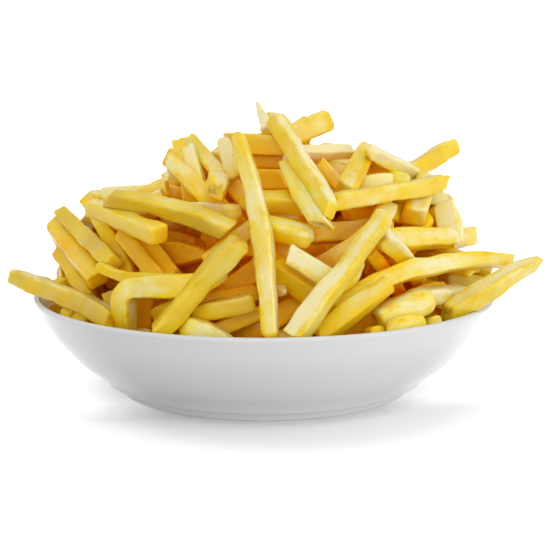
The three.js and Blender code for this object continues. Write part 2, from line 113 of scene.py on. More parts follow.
    ('BB2', [(34.9, -35.7, 84), (43.8, -30.6, 83.5), (52.7, -25.5, 83.1), (59.4, -18.2, 81), (61.2, -9.1, 77.1), (58.8, -0.3, 72.4), (55.8, 8.4, 67.7)], (8, 8.1, 8.1), (-0.02,0.13,0.99), 0.69, 0.00, 0.08, 'ff'),
    ('BC', [(3.9, -39.2, 125.4), (10.2, -49, 116.8), (16.2, -58.9, 108.1), (21.8, -69, 99.3), (27.2, -79.2, 90.6)], (6.9, 7.2, 7.5), (0.65,-0.22,0.72), 0.39, 0.15, 0.04, 'rs'),
    ('BD', [(-3.4, 5, 128.9), (-0.5, -8.9, 123.7), (2.3, -22.9, 118.5)], (1.3, 4, 6.4), (0.91,0.03,0.41), 0.01, 0.00, 0.04, 'rf'),
    ('BE1', [(-15.1, -4.2, 111.7), (-15.3, -11.8, 112.4), (-13.6, -18.7, 112.9), (-7.1, -21.5, 112.8), (0.5, -21.4, 112.3), (8.1, -21.2, 111.7), (15.7, -21.1, 111.2)], (7.9, 7.9, 7.9), (0.06,0.09,0.99), 0.61, 0.30, 0.15, 'ff'),
    ('BE2', [(-24.1, 9.6, 101.3), (-22.2, 0.9, 102.6), (-19.9, -7.6, 103.7), (-14, -14.1, 104.6), (-5.6, -16.6, 104.7), (3.3, -16.4, 104.5), (12.3, -16.3, 104.3)], (8.2, 8.2, 8.2), (-0.02,0.14,0.99), 0.67, 0.30, 0.22, 'ff'),
    ('BF', [(-9.4, 2.3, 94.5), (-12, -6.5, 95.5), (-14.2, -15.3, 96.4), (-12.2, -24, 97.4), (-5.9, -30.4, 98.1), (2.7, -33.7, 98.4), (11.2, -37.1, 98.8)], (8, 8, 7.9), (-0.00,0.11,0.99), 0.57, 0.30, 0.16, 'ff'),
    ('BG', [(9.8, -50, 107), (13.3, -57.2, 101.2), (16.7, -64.4, 95.6), (20.2, -71.7, 90), (23.6, -79.1, 84.5)], (7, 8.8, 7.6), (0.81,-0.08,0.59), 0.31, 0.00, 0.04, 'su'),
    ('BH', [(-5.9, -62.5, 94.9), (-5.3, -65.1, 91.6), (-0.4, -63.6, 91.5), (4.5, -62.1, 91.4), (9.4, -60.7, 91.3), (14.4, -59.2, 91.2), (19.3, -57.8, 91.1)], (8.2, 8.2, 8.3), (0.59,-0.72,0.36), 0.49, 0.25, 0.16, 'ff'),
    ('BI', [(-2, -65.9, 82), (0.8, -68.7, 82.7), (4.6, -69.9, 82.1), (8.5, -70.6, 81.3), (12.4, -71.3, 80.4), (16.3, -72, 79.5), (20.2, -72.7, 78.7)], (8, 9, 8.8), (-0.49,-0.10,0.86), 0.41, 0.00, 0.04, 'fr'),
    ('BJ', [(-17.5, -36.3, 61.4), (-15.3, -43, 65.1), (-12.8, -49.7, 68.7), (-8.8, -55.8, 71.5), (-2.4, -60.4, 72.7), (5, -63.2, 72.4), (12.6, -65.4, 71.8)], (7.9, 7.9, 7.8), (-0.13,0.44,0.89), 0.42, 0.00, 0.38, 'ff'),
    ('BK', [(10, -80.4, 73.3), (15.3, -80, 70), (20.7, -79.5, 66.7), (26, -79.1, 63.4), (31.4, -76.6, 62.6), (34.4, -72.3, 65.6), (36.7, -67.8, 69.3)], (8.8, 9.2, 9.3), (0.52,0.13,0.85), 0.27, 0.00, 0.04, 'ff'),
    ('BL', [(2.1, -69.5, 71.1), (0.4, -73.2, 68.9), (5, -72.8, 65.8), (9.7, -72.4, 62.7), (14.3, -71.9, 59.7), (19, -71.5, 56.6), (23.6, -71.1, 53.6)], (8.9, 9.1, 9.4), (0.58,-0.70,0.41), 0.66, 0.00, 0.04, 'ff'),
    ('BM', [(-15, 12.1, 107.2), (-10.6, 2.3, 108.2), (-5.2, -6.9, 109.6), (4.1, -10.8, 112.4), (13.2, -6, 115.4), (21.5, 0.4, 118.3), (29.8, 6.7, 121.2)], (10.2, 10.2, 10.5), (-0.22,0.00,0.98), 0.56, 0.30, 0.04, 'fr'),
    ('BN', [(10.4, -26.7, 102.1), (11.6, -29.6, 107.2), (16.8, -27.9, 109.3), (22.4, -24.5, 109.2), (28, -21, 109.1), (33.6, -17.6, 109), (39.3, -14.2, 108.9)], (5.8, 5.8, 5.6), (-0.84,-0.44,-0.33), -0.14, 0.00, 0.12, 'fr'),
    ('BO', [(25.7, 15.1, 100.7), (20, 8.1, 102.5), (14.6, 0.9, 104.3), (12.7, -7.8, 105.1), (19.1, -13.7, 103.6), (27.8, -15.6, 101.2), (36.6, -16.9, 98.8)], (8.2, 8.2, 8.2), (0.29,0.01,0.96), 0.09, 0.00, 0.10, 'ff'),
    ('BP1', [(48.6, -4.3, 97.5), (47.4, -9.6, 104.9), (45.2, -17.2, 108.6), (42.4, -25.2, 104.9), (39.6, -33.2, 101.3), (36.9, -41.3, 97.8), (34.2, -49.4, 94.3)], (7.5, 8.1, 9.7), (0.80,-0.54,-0.25), 0.54, 0.30, 0.04, 'rf'),
    ('BP2', [(45.2, -31.5, 110.4), (50.9, -22.8, 107.1), (56.7, -14.2, 103.7), (62.6, -5.7, 100.3), (68.7, 2.8, 96.8), (74.1, 10.3, 91.3), (79, 16.8, 84)], (5.9, 6.8, 7.1), (0.56,-0.06,0.82), -0.07, 0.00, 0.04, 'rf'),
    ('BQ', [(21.9, -21.4, 73.9), (25.4, -24.4, 80.2), (29.1, -27.3, 86.5), (34.4, -28.9, 91.9), (41.5, -28.2, 94.9), (48.8, -25.6, 95.5), (56, -22.6, 95.5)], (8, 8, 8.1), (-0.81,0.19,0.55), -0.29, 0.00, 0.04, 'ff'),
    ('BR', [(49.2, 28.1, 95.8), (53.1, 17, 95), (60.8, 8.9, 95.4), (69.8, 14.9, 98), (76.9, 24, 100.7), (84.1, 33, 103.5), (91.4, 41.9, 106.4)], (7.8, 7.9, 8.2), (0.02,-0.06,1.00), 0.63, 0.30, 0.04, 'fr'),
    ('BS', [(7.3, 4.4, 80.8), (8.8, -5.4, 85.3), (11.1, -15, 89.7), (18.5, -21.7, 92.9), (29.1, -22.4, 93.6), (39.7, -20, 92.9), (50.3, -17.6, 92.3)], (8.1, 8.1, 8.2), (-0.27,0.36,0.89), 0.65, 0.00, 0.04, 'ff'),
    ('BS2', [(24.6, -30.1, 105.1), (28.3, -32.1, 100.8), (32, -34, 96.5), (35.8, -36, 92.3), (41.1, -35.3, 89.8), (46.2, -32.2, 90), (51.2, -28.9, 90.4)], (6, 6, 6), (0.76,0.04,0.64), 0.42, 0.00, 0.12, 'ff'),
    ('BV', [(52, 30.7, 68.5), (53, 22.8, 73.3), (54.2, 15, 78), (57.6, 7.7, 82.4), (65.1, 3.4, 85.2), (74.2, 3.1, 85.5), (83.2, 5.3, 84.4)], (8.5, 8.5, 8.5), (-0.36,0.45,0.82), -0.35, 0.00, 0.04, 'ff'),
    ('BW', [(17.9, -55.5, 60.1), (26.1, -57.6, 65.4), (34.4, -59, 70.7), (42.1, -56.1, 76.2), (47.1, -48.7, 80.3), (50.7, -39.9, 83.6), (54.3, -31.2, 87)], (7.8, 7.8, 8), (-0.46,0.30,0.84), 0.26, 0.30, 0.04, 'ff'),
    ('CC', [(44.3, -58.6, 70.7), (48.9, -54.2, 64.5), (53.4, -49.9, 58.3), (56.7, -43.8, 52.9), (58.2, -36.2, 48.9), (57.8, -27.7, 46.6), (57.3, -19.2, 44.4)], (6.7, 6.8, 6.8), (0.79,0.04,0.61), 0.50, 0.00, -0.20, 'ff'),
    ('CD', [(32.7, -64.1, 37.4), (42.4, -59.3, 41.3), (52.2, -54.7, 45.1), (61.3, -48.4, 48), (68.7, -39.7, 48.9), (73.8, -29.5, 47.9), (78.5, -19.1, 46.6)], (8.3, 8.5, 8.5), (-0.45,0.21,0.87), 0.92, 0.00, 0.10, 'ff'),
    ('CE', [(-49.3, -22.7, 42.9), (-48.9, -30.1, 50.7), (-48.5, -37.7, 58.3), (-48.5, -47.2, 62.2), (-49.3, -54.6, 55.7), (-50.3, -55.7, 45.1), (-51.3, -55.9, 34.3)], (7.8, 7.8, 7.8), (0.99,-0.08,-0.13), 0.91, 0.00, -0.16, 'ff'),
    ('ZA', [(-88, 12, 40.5), (-92, -8, 41), (-88, -28, 40.5)], (7.4, 7.6, 7.4), (0.10,0.10,0.98), 0.85, 0.00, 0.00, 'fr'),
    ('ZB', [(-74, -24, 42), (-82, -36, 42.4), (-79.5, -50, 41.6)], (7.2, 7.4, 7.2), (0.10,0.10,0.98), 0.80, 0.00, 0.00, 'rf'),
]

# Fries of the far side, the top and the inside of the heap: start, middle, end and side.
REST = [
    ((55.2, 23.7, 66.5), (75.8, 3.7, 60), (91.6, -16.9, 58.6), 7.9),
    ((-63, 73.6, 65.7), (-71.2, 56.2, 47.3), (-78.8, 42.6, 28.8), 8.6),
    ((47.2, -1.4, 99.1), (42.9, 25.7, 92.6), (39.4, 50, 89.7), 7.4),
    ((40.5, 76.7, 92.9), (55.7, 55.7, 78.1), (72, 35.2, 62.5), 8.8),
    ((-79.9, 6.1, 83.2), (-59.4, 26.1, 79.5), (-35.1, 51.5, 76.4), 9.7),
    ((-22.1, 55.9, 99.6), (-47.9, 43.7, 86), (-79.4, 30.1, 77.2), 8.5),
    ((21.5, 91.1, 76.5), (-1.5, 81.6, 62.8), (-21.3, 72.2, 47.8), 8.6),
    ((-39.2, 53.4, 107.7), (-26.9, 76.4, 74.6), (-18.7, 99.3, 47), 9.6),
    ((20.6, 52.7, 90.7), (13.1, 71.1, 69.2), (-0.2, 86.7, 50.6), 8.4),
    ((7.2, 24.3, 91.6), (31.6, 45.6, 95.1), (50.6, 60.3, 100.2), 8.6),
    ((-17.3, 45.8, 77.7), (-21.4, 70.4, 61.5), (-27.1, 94.1, 39.7), 9.1),
    ((78.6, -3.1, 79.2), (83.7, 13, 71.4), (95.9, 32.6, 60.4), 8.9),
    ((44.8, 51.3, 68), (66.2, 40.2, 57.4), (91.5, 31.2, 44.9), 9.2),
    ((2.2, 57.6, 117.3), (25.1, 70.9, 96), (46.4, 80.8, 77), 9.1),
    ((-59.8, 34.3, 74.7), (-53.1, 58.9, 55.8), (-50.3, 83.5, 36.7), 8.6),
    ((10.7, 89, 65.1), (33.7, 74.3, 43), (55.1, 67.5, 24.8), 8.3),
    ((72, 31.1, 67.7), (78.2, 20.6, 44.3), (85.5, 7.5, 24.8), 8.3),
    ((-40.6, 33.8, 89.5), (-60.6, 13.2, 84.2), (-80.1, -7.2, 86.4), 8.4),
    ((-88.7, 51.7, 54.3), (-90.8, 22.1, 43.2), (-91, -9, 31.5), 7.8),
    ((-5.5, 13.5, 107.6), (20.4, 25, 95.5), (43.9, 37.5, 79.7), 9.3),
    ((18.1, 7, 118.2), (13.8, 27.9, 105.2), (9.6, 46.5, 95.3), 9.4),
    ((2.1, 69.4, 92.6), (30.5, 76.9, 66.9), (59.2, 83.5, 50), 8.1),
    ((6.9, 15.5, 88.8), (31.3, 17, 97), (51.9, 17.1, 105.1), 8.2),
    ((70.1, 42.3, 93.5), (59.6, 64.8, 77.6), (48.3, 83.7, 62.7), 9.3),
    ((82.9, 11.1, 85), (85.8, 30.9, 66.8), (90.9, 50.1, 48.4), 7.4),
    ((6.8, 37.4, 107.1), (-17.1, 37.5, 101.9), (-38.9, 39.5, 87.4), 9.9),
    ((23.9, 33.9, 67.9), (-1.6, 49.4, 80.7), (-20.9, 67.4, 88.7), 8.3),
    ((18.8, 34.4, 105.9), (26.7, 56.7, 92.1), (37.3, 73.5, 76.8), 7.9),
    ((-42.8, 4.5, 103.9), (-27.5, 26.1, 94.3), (-10, 49.3, 81.1), 9.1),
    ((60.6, 19.9, 99.9), (73.8, 22.8, 75.5), (88.1, 25.3, 50.7), 10.2),
    ((-67.4, 53.9, 54.5), (-69.8, 30.9, 56.8), (-77.7, 6.2, 58.6), 9.2),
    ((-21.6, 59.3, 87.6), (-52, 50.8, 82.8), (-83.7, 39, 74.9), 8.8),
    ((3.9, 77.8, 82.7), (21, 80.3, 65.5), (42.1, 83.1, 49.2), 8.7),
    ((-11.2, 85.1, 77.9), (-14.4, 86.7, 56.5), (-15.7, 87.3, 26.2), 7.4),
    ((22.3, 2.5, 107.2), (46.3, -1.2, 90.3), (74.5, -1.5, 73.7), 8.5),
    ((1.3, 13.7, 118.3), (6.2, -11.2, 121), (9, -32, 118.1), 8.2),
    ((76.2, 46.9, 89.6), (72.4, 46.2, 55.8), (68.1, 42.7, 18.8), 8.6),
    ((-19.4, 67.9, 74.2), (-51.1, 62.3, 68.9), (-77.8, 55.5, 63.1), 9.8),
    ((-53.9, 79.9, 78.3), (-45.8, 81, 52.3), (-37.3, 78.3, 25.9), 8.7),
    ((-24.3, 46.7, 95.5), (-0.6, 46.4, 105.8), (21.9, 45.6, 113.7), 8.5),
    ((16.4, 50.9, 105.9), (-9.6, 64.2, 101.9), (-33.4, 73.5, 93), 8.3),
    ((3.6, 66.4, 112), (-3.1, 83.5, 78.2), (-11.3, 97.8, 45.9), 8.4),
    ((68.6, 51.9, 79.8), (64.1, 61, 53.2), (57.5, 69.9, 30.6), 8.8),
    ((53.3, 37.4, 67.2), (75.4, 15.8, 61.6), (94.3, -6.6, 53.6), 8.4),
    ((26.4, 46.5, 104.8), (52.3, 34.1, 96), (82.9, 27.2, 88.7), 8.5),
    ((85.9, 51.6, 47.4), (68.5, 67.5, 47.3), (51.6, 83.7, 43.9), 8.0),
    ((-53.9, -34.7, 47.2), (-72.8, -7, 51.4), (-94.9, 21.8, 57.6), 8.1),
    ((41.8, 59, 86.7), (61.8, 42.6, 82), (85.2, 31.5, 81.5), 10.0),
    ((-23.5, 0.7, 93), (-55.4, 9.7, 77.6), (-88.3, 17.4, 61.5), 9.1),
    ((74.3, 62.1, 71.9), (50.3, 75.2, 49.6), (24.7, 87.9, 30.4), 9.3),
    ((10.8, 87.3, 82.6), (34.6, 77.5, 73.4), (57.9, 62.2, 58.9), 8.1),
    ((-11.7, 5.6, 98.2), (-1.7, 35.7, 98), (8, 67.5, 96), 8.3),
    ((-2.5, 94.9, 74), (11.4, 88.4, 50), (21.7, 80.8, 22.2), 9.4),
    ((101.3, -5.7, 57.2), (90.7, 16.1, 47.9), (77.7, 33.7, 37.3), 8.7),
    ((82.5, 40.9, 78), (80.8, 43.9, 56.1), (79, 45, 31.2), 9.4),
    ((-44.3, 77.1, 80.4), (-58.3, 65.6, 55.6), (-73.7, 52.1, 28), 7.7),
    ((-29.1, 12.6, 100.1), (0.4, 25.8, 108.1), (28.8, 42.1, 118.8), 8.1),
    ((17.1, 53.8, 72.8), (-3.8, 69.4, 80), (-25.9, 80.1, 91.6), 8.9),
    ((13.4, -26.8, 92.5), (-9, -23.7, 88.6), (-32.1, -21.1, 89.7), 8.3),
    ((54.4, 38.8, 60.2), (66.5, 20.3, 39.6), (82.7, -1.2, 20.9), 8.3),
    ((-19.8, 30.8, 76.7), (2.6, 41.3, 84.1), (25.2, 46.3, 89.2), 8.5),
    ((59.5, 12.1, 38.8), (50.5, 42.2, 40.8), (41, 72.3, 47.2), 9.4),
    ((33.7, -4.3, 77.4), (55.8, -7.5, 53.4), (71.8, -12, 26.9), 9.5),
    ((62.4, 4.3, 101.3), (41, -16.2, 83.1), (23.4, -33.6, 59.1), 8.0),
    ((-25.7, 19.7, 67.4), (13.7, 27.4, 71.7), (51.2, 34.4, 74.7), 7.4),
    ((18.2, -4, 99), (40.6, -10.6, 97.8), (64.7, -18.8, 94.2), 8.1),
    ((-93.8, -5.1, 51.5), (-74.5, 15.6, 39.7), (-53.6, 36.9, 24.2), 9.9),
    ((10, 16.4, 81.7), (21.5, 42, 79.8), (38.6, 63.6, 77.4), 9.4),
    ((-78.3, 22.2, 77.7), (-50.1, 31.9, 65.7), (-28, 41.1, 54.9), 8.6),
    ((37.9, -32.3, 55.3), (58.1, -1.6, 36.7), (74, 26.9, 18), 8.1),
    ((-48.2, 25.8, 74.9), (-66.2, 9.4, 56), (-77.9, -0.3, 35.5), 10.2),
    ((-8.9, 30.7, 111.6), (-24.6, 18.9, 85.2), (-40.5, 5.2, 59.5), 8.6),
    ((25.4, 20.2, 88.9), (45.5, 26.4, 80.2), (70.2, 35.7, 73.5), 8.8),
    ((47.7, 32.1, 89.3), (62.3, 16.9, 80.4), (75.7, 2, 66.7), 9.7),
    ((-1.8, 45.9, 49.5), (27.5, 55.3, 52.1), (59, 64.9, 52.7), 8.8),
    ((42.6, 23.7, 63.3), (65.8, 0, 48.4), (92.7, -22.2, 32.9), 9.7),
    ((-81.9, 46.9, 58.4), (-64.7, 44.9, 39.5), (-48.2, 44.1, 19.8), 9.0),
    ((-74.3, -19.1, 63.9), (-75.4, -14.7, 42.3), (-73.6, -8, 14.4), 8.4),
    ((-41.6, 4.5, 76.5), (3.9, 9.2, 81.2), (47.4, 10.8, 88.8), 8.3),
    ((2.3, -15.3, 97.3), (-5.3, 8, 91), (-11.6, 35.6, 88.5), 9.4),
    ((-8.9, 78.9, 73.5), (12.2, 61.6, 65.5), (34.3, 44.6, 56), 9.7),
    ((-18.8, 0.4, 96), (-12.8, 18, 82.1), (-6.1, 37.8, 69.5), 8.4),
    ((-31.1, 45.8, 71.1), (-58.6, 39.6, 52.8), (-86.7, 34.2, 30.7), 8.7),
    ((-44.3, 62.1, 62.7), (-15.9, 57.3, 52.2), (14.4, 50, 37.4), 8.9),
    ((3.3, 31.5, 78), (-4, 56.9, 61.7), (-6.1, 81.6, 46.5), 8.6),
    ((-85, 1.8, 64.7), (-58.4, -5, 67.7), (-32.6, -11.6, 72.8), 8.6),
    ((21.5, 60.7, 98.2), (1, 57.1, 79.7), (-19.8, 52.3, 58.3), 8.9),
    ((73.4, 2, 53.2), (54, 26.4, 56.9), (36.2, 49.1, 64.6), 8.3),
    ((-9.6, 66, 66.7), (-19.5, 64.7, 41.9), (-25.7, 58.6, 11.9), 8.7),
    ((-12.3, 61.6, 78.1), (9.9, 68, 52.1), (33.4, 74.7, 30.7), 7.4),
    ((-45.3, 26.5, 70.4), (-16.2, 43.5, 59.9), (9.2, 61.8, 50), 8.6),
    ((62, 29.6, 86), (38.9, 50.6, 73.1), (14.3, 71.4, 54.5), 8.3),
    ((72.9, -11.6, 79.7), (55.5, -30.6, 60.5), (45.4, -49.2, 43.3), 10.0),
    ((-3.5, 11.7, 45.8), (-28.9, 33.8, 47.2), (-55.7, 58.8, 45.2), 9.7),
    ((54.4, -25.7, 72.4), (27.2, -23, 59.2), (2, -18.2, 46.2), 9.4),
    ((-43.7, -0.9, 82.2), (-37.7, -1.5, 49.7), (-31.1, -0.6, 20.5), 8.3),
    ((57.9, 19.7, 48.7), (30.8, 45.3, 41.3), (4.7, 66.4, 31.6), 8.4),
    ((-23.1, 1.6, 56.5), (-10.7, -24.5, 73.7), (1.1, -51.9, 87.7), 9.0),
    ((43.5, 32.8, 68.1), (9.6, 39.2, 46.2), (-24.9, 41.4, 26.4), 9.7),
    ((6.9, 15.9, 98.2), (-2.3, -9.4, 76), (-9.4, -37.9, 54), 8.0),
    ((17.5, -29.5, 42.2), (40.9, -18.4, 57.1), (59.7, -13.3, 68.8), 9.3),
    ((-7.2, -18.4, 95.2), (14.8, -8.6, 63.9), (36, 0.2, 33.2), 8.7),
    ((35.3, -31.7, 56.4), (3.5, -35.5, 43.8), (-33.1, -40.1, 28.3), 7.7),
    ((-50.3, 17.8, 82.6), (-43.9, 6, 48.2), (-39.5, -4.5, 15.2), 7.9),
    ((25.1, 30.9, 44.7), (26.9, 7, 63.5), (26, -18.2, 84), 9.6),
    ((47.4, 18.2, 86.1), (40.2, 13.3, 63.8), (29.3, 6.8, 36), 9.4),
    ((-58.8, 0.5, 54.7), (-37.1, -21.5, 54.8), (-11.6, -44.3, 54.2), 10.0),
    ((13.9, -49.2, 49.2), (-18.1, -39.6, 44.3), (-54.7, -29.8, 39.3), 10.0),
    ((-10.7, -35.4, 86.9), (-23.4, -9.7, 70.8), (-35.7, 21.3, 51.1), 8.4),
    ((-46.6, 61.7, 55.2), (-21.7, 39.5, 42), (5.4, 13.2, 23.5), 9.1),
    ((15.1, -11.3, 78.3), (17.2, -33.9, 64.9), (18.1, -59.2, 49.8), 9.1),
    ((-18.6, 14.2, 38.1), (-19.9, -10.8, 53), (-23.6, -35.3, 72.3), 8.3),
    ((10.6, -22.6, 66.2), (-15, 5, 64.1), (-42.1, 29, 59.9), 9.4),
    ((19.5, -1.6, 61.9), (-11, 14.8, 72.7), (-38.8, 33.8, 83.9), 7.4),
    ((6, 42.1, 59.3), (24.6, 20.6, 66.6), (40.8, 2, 70.2), 8.3),
    ((-32.9, 38.6, 80), (-12.5, 30.8, 63.4), (16, 28.3, 47.5), 8.7),
    ((-22.6, -11.1, 43), (-40.1, 20.8, 45.7), (-59.3, 51.5, 47.4), 8.3),
    ((71.9, 12.1, 41.9), (46.7, -1.8, 43.5), (23.2, -17.4, 44.8), 9.7),
    ((17.4, -13.5, 96.8), (17.4, 5, 72.8), (16.9, 17.5, 44.9), 9.5),
    ((16.6, -14.8, 12.3), (41.1, 9.4, 13), (60.4, 32, 14), 9.1),
    ((42.4, 20.1, 16.2), (14, 25.4, 13.6), (-8.3, 35.3, 12.6), 9.3),
    ((46, 26.6, 12.7), (13.5, 42.5, 12.9), (-19.2, 60.4, 13.4), 8.5),
    ((19.1, 9.2, 11.3), (-18, 32.5, 15), (-55.5, 59.2, 19.2), 7.6),
    ((11.5, -15.4, 11.2), (-27.5, 8.5, 13.7), (-64, 37, 15.8), 7.4),
    ((-37.3, -39.9, 13.2), (-44.5, -12, 13.1), (-49.9, 18.3, 12.7), 9.5),
    ((-51.7, -55.9, 15.8), (-17, -35.3, 12.8), (16.2, -17.8, 12.2), 8.5),
    ((-14.2, -42, 12.5), (11.7, -38.6, 12), (40.4, -37.2, 12.4), 8.0),
    ((25.7, -60.2, 14.7), (34, -32.3, 19.6), (43.6, 0.2, 16.5), 8.4),
    ((33.2, -36.1, 28.7), (37.6, -5.5, 27.7), (38.5, 23.4, 25.1), 10.0),
    ((62.1, -9.5, 19.8), (47.1, 21.8, 21.2), (31.3, 49.2, 23.1), 9.1),
    ((71.2, 31.7, 19.8), (49.1, 44.4, 19), (26.5, 60.3, 14.4), 9.9),
    ((39.6, 28.4, 29.2), (6.9, 38.4, 18.2), (-23.5, 47.7, 12), 8.7),
    ((-29.8, 18.5, 26.3), (-2.4, 48.4, 22.2), (26, 77.5, 19.8), 9.0),
    ((6.2, 4.3, 11.9), (-14.7, 20.8, 13.6), (-41.5, 36.3, 11.6), 8.7),
    ((9.3, -6.9, 15.4), (-29.3, 20.2, 16.8), (-63.5, 45.2, 18.6), 9.1),
    ((-67.1, -8.8, 14.8), (-49.6, 8.3, 21.8), (-33.1, 26.7, 32.5), 9.6),
    ((-73.9, -17, 17.2), (-39.9, -10.8, 23), (-10.5, -6.5, 28.6), 9.2),
    ((-71.7, -36.9, 32.2), (-45.7, -25.4, 29.3), (-17.1, -15.1, 21.3), 9.8),
    ((-1.7, -52.8, 16.4), (-26.9, -41.5, 20.9), (-50.4, -34.9, 26.2), 9.2),
    ((11.5, -71.1, 18.9), (-1.7, -35.2, 20.5), (-14.8, -3, 18.9), 9.1),
    ((17.4, -65, 14), (9.1, -38.6, 20.4), (1.3, -13.4, 31.8), 8.5),
    ((17, -70.3, 23.8), (25.1, -28.3, 20.9), (31, 13, 22), 9.4),
    ((86.1, -28.6, 31), (66.3, -32.2, 21.7), (43, -34.6, 11.7), 8.9),
    ((76.3, -26.9, 21), (64.6, 6.7, 20.9), (47.4, 38.3, 23.2), 8.9),
    ((45.4, 7.9, 29), (66.1, 22.7, 29.9), (84.9, 38.4, 31.5), 8.8),
    ((74.1, 24.7, 40.9), (58.8, 41.7, 30.3), (43.7, 62, 18.1), 9.4),
    ((80.1, 54.4, 38.2), (47.9, 61.5, 34.8), (19.4, 69.6, 27), 8.7),
    ((49.4, 40.6, 30.6), (22.2, 48.4, 31.3), (-2.8, 58.5, 28.8), 9.1),
    ((27.8, 38.5, 18.6), (13.9, 67.8, 29), (-0.6, 96.7, 36.4), 8.3),
    ((-25.9, 46.2, 20.6), (-6.8, 66.4, 22.7), (11.8, 85.7, 25.5), 9.3),
    ((-28.1, 27.6, 19.3), (-31.9, 62.1, 33.3), (-35, 96.4, 48.8), 8.8),
    ((-7.5, 10.9, 37.3), (-30.1, 38.8, 34.4), (-49, 69.3, 30.6), 8.4),
    ((-82.2, 10.1, 23.6), (-70.5, 39.4, 23.7), (-52.7, 65.1, 24.2), 8.1),
    ((-67.1, -13.4, 26.4), (-52.8, 20.1, 27.1), (-36.8, 49.8, 24.9), 10.2),
    ((-90.9, -25.9, 37.7), (-78.1, 0.7, 25.9), (-62.3, 26.6, 16.4), 10.2),
    ((-70, -26.2, 34.1), (-38.3, -11.7, 34.8), (-8.3, 0.5, 35.4), 9.3),
    ((-45.2, -70.5, 34.7), (-65, -53.7, 33.4), (-82.7, -36.7, 30.2), 8.8),
    ((-63.3, -63.8, 26.9), (-41.3, -37.7, 32.5), (-18.1, -14.6, 31.8), 8.3),
    ((11.2, -53.3, 41.3), (-11.6, -34.8, 26.4), (-35.4, -12.9, 10.1), 8.7),
    ((22.1, -85.3, 26), (-3.8, -56, 27.4), (-29.6, -27, 25.2), 8.5),
    ((-4.9, -92.8, 31), (13.1, -59.6, 36.3), (28.3, -26.3, 38.5), 8.6),
    ((33.3, -77.9, 31.8), (26.1, -48.4, 30.4), (23.2, -12.2, 29.2), 9.2),
    ((24.7, -72.7, 21.6), (38.4, -44.5, 23.6), (48.3, -17.9, 26.4), 9.1),
    ((38.4, -50.9, 14.1), (63.5, -42.9, 23.8), (89.3, -34.4, 37.8), 8.8),
    ((74.8, -47.8, 42.3), (62.5, -31.7, 29.7), (50.8, -14.8, 16), 9.2),
    ((53.5, -10.2, 26.3), (75.3, 2, 34.3), (96.9, 11.1, 41.8), 9.5),
    ((52.1, -18.3, 32.7), (40.2, 11.4, 36.1), (26.8, 38.9, 40), 9.5),
    ((71, 24.2, 47.2), (60.1, 50.7, 46.1), (46.8, 73.8, 39.3), 8.2),
    ((72.4, 52.1, 28.5), (46.8, 53.9, 34.4), (20.4, 59.8, 44.5), 8.4),
    ((-18.1, 58.8, 31), (15.1, 76.2, 39.7), (44, 93.3, 49.4), 8.0),
    ((25.2, 38.5, 33.1), (0.2, 46.8, 32.7), (-27.1, 56.9, 35.2), 8.5),
    ((-41.6, 59.7, 45.7), (-21.9, 72.6, 41.6), (-2.2, 89, 37.1), 8.5),
    ((-60, 50.9, 30), (-43.1, 69.3, 44.5), (-29.3, 84.8, 59.5), 9.7),
    ((-80.5, 25.9, 34.4), (-59.4, 36.7, 38.5), (-45.8, 45.5, 37.3), 8.7),
    ((-11.8, 2.9, 24.7), (-41.5, 14.7, 35.7), (-70.8, 29.9, 47.5), 8.7),
    ((-51.6, -1, 45), (-71.5, 7.6, 35.7), (-89.3, 13.5, 29.2), 8.6),
    ((-93.7, -15.3, 51), (-73.3, -6.2, 39.6), (-45.9, 1.8, 31.2), 7.6),
    ((24.1, -47.7, 41.7), (54.8, -34.3, 40.2), (81.9, -21.8, 37.8), 9.4),
    ((38.4, -31.3, 39.5), (62.8, -21.8, 33.6), (85.1, -20.6, 26.8), 10.0),
    ((-20.8, 40.6, 68.8), (-34.4, 60.2, 78.9), (-49.4, 82.8, 89.6), 8.9),
    ((20.9, 37.3, 62), (25, 64.5, 77), (28.7, 90.9, 90.6), 8.9),
    ((-49.8, 17.6, 56.2), (-66.8, 33.9, 64.4), (-84.2, 50.3, 70.7), 8.9),
    ((34.2, 38.9, 51.2), (61, 49.9, 54.4), (90.8, 61.7, 56.1), 8.9),
    ((1.7, 16.3, 88.9), (-4.2, 44.3, 90.8), (-10.1, 69.8, 94.1), 8.9),
    ((-81.8, 18.9, 41), (-82.9, 53.1, 48.3), (-83.4, 86, 51.9), 8.9),
    ((-19.4, 46.4, 42.8), (-6.8, 68.5, 41.6), (8.3, 94, 42.8), 8.9),
    ((20.3, 10.9, 73.9), (28.6, 38.8, 84), (39.4, 66.1, 92.1), 8.9),
    ((-47.8, 5, 37), (-74.6, 22.6, 49.3), (-101.5, 39.7, 60.3), 8.9),
]


# ---------------------------------------------------------------- helpers
class Noise:
    """Smooth value noise on a wrapped lattice, from -1 to 1."""

    def __init__(self, seed, n=32):
        self.n = n
        self.grid = np.random.default_rng(seed).uniform(-1, 1, (n, n, n))

    def __call__(self, p):
        p = np.asarray(p, float)
        i = np.floor(p).astype(int)
        f = p - i
        f = f * f * f * (f * (f * 6 - 15) + 10)
        i %= self.n
        j = (i + 1) % self.n
        out = 0.0
        for a in (0, 1):
            for b in (0, 1):
                for c in (0, 1):
                    w = ((f[..., 0] if a else 1 - f[..., 0]) * (f[..., 1] if b else 1 - f[..., 1])
                         * (f[..., 2] if c else 1 - f[..., 2]))
                    out = out + w * self.grid[(j if a else i)[..., 0], (j if b else i)[..., 1], (j if c else i)[..., 2]]
        return out


NOISE = [Noise(SEED + k) for k in range(4)]
# painted light and shade: how much paler a face is made for facing the light, and how much more golden for facing away
PAINTED_LIGHT_FACET = 0.34


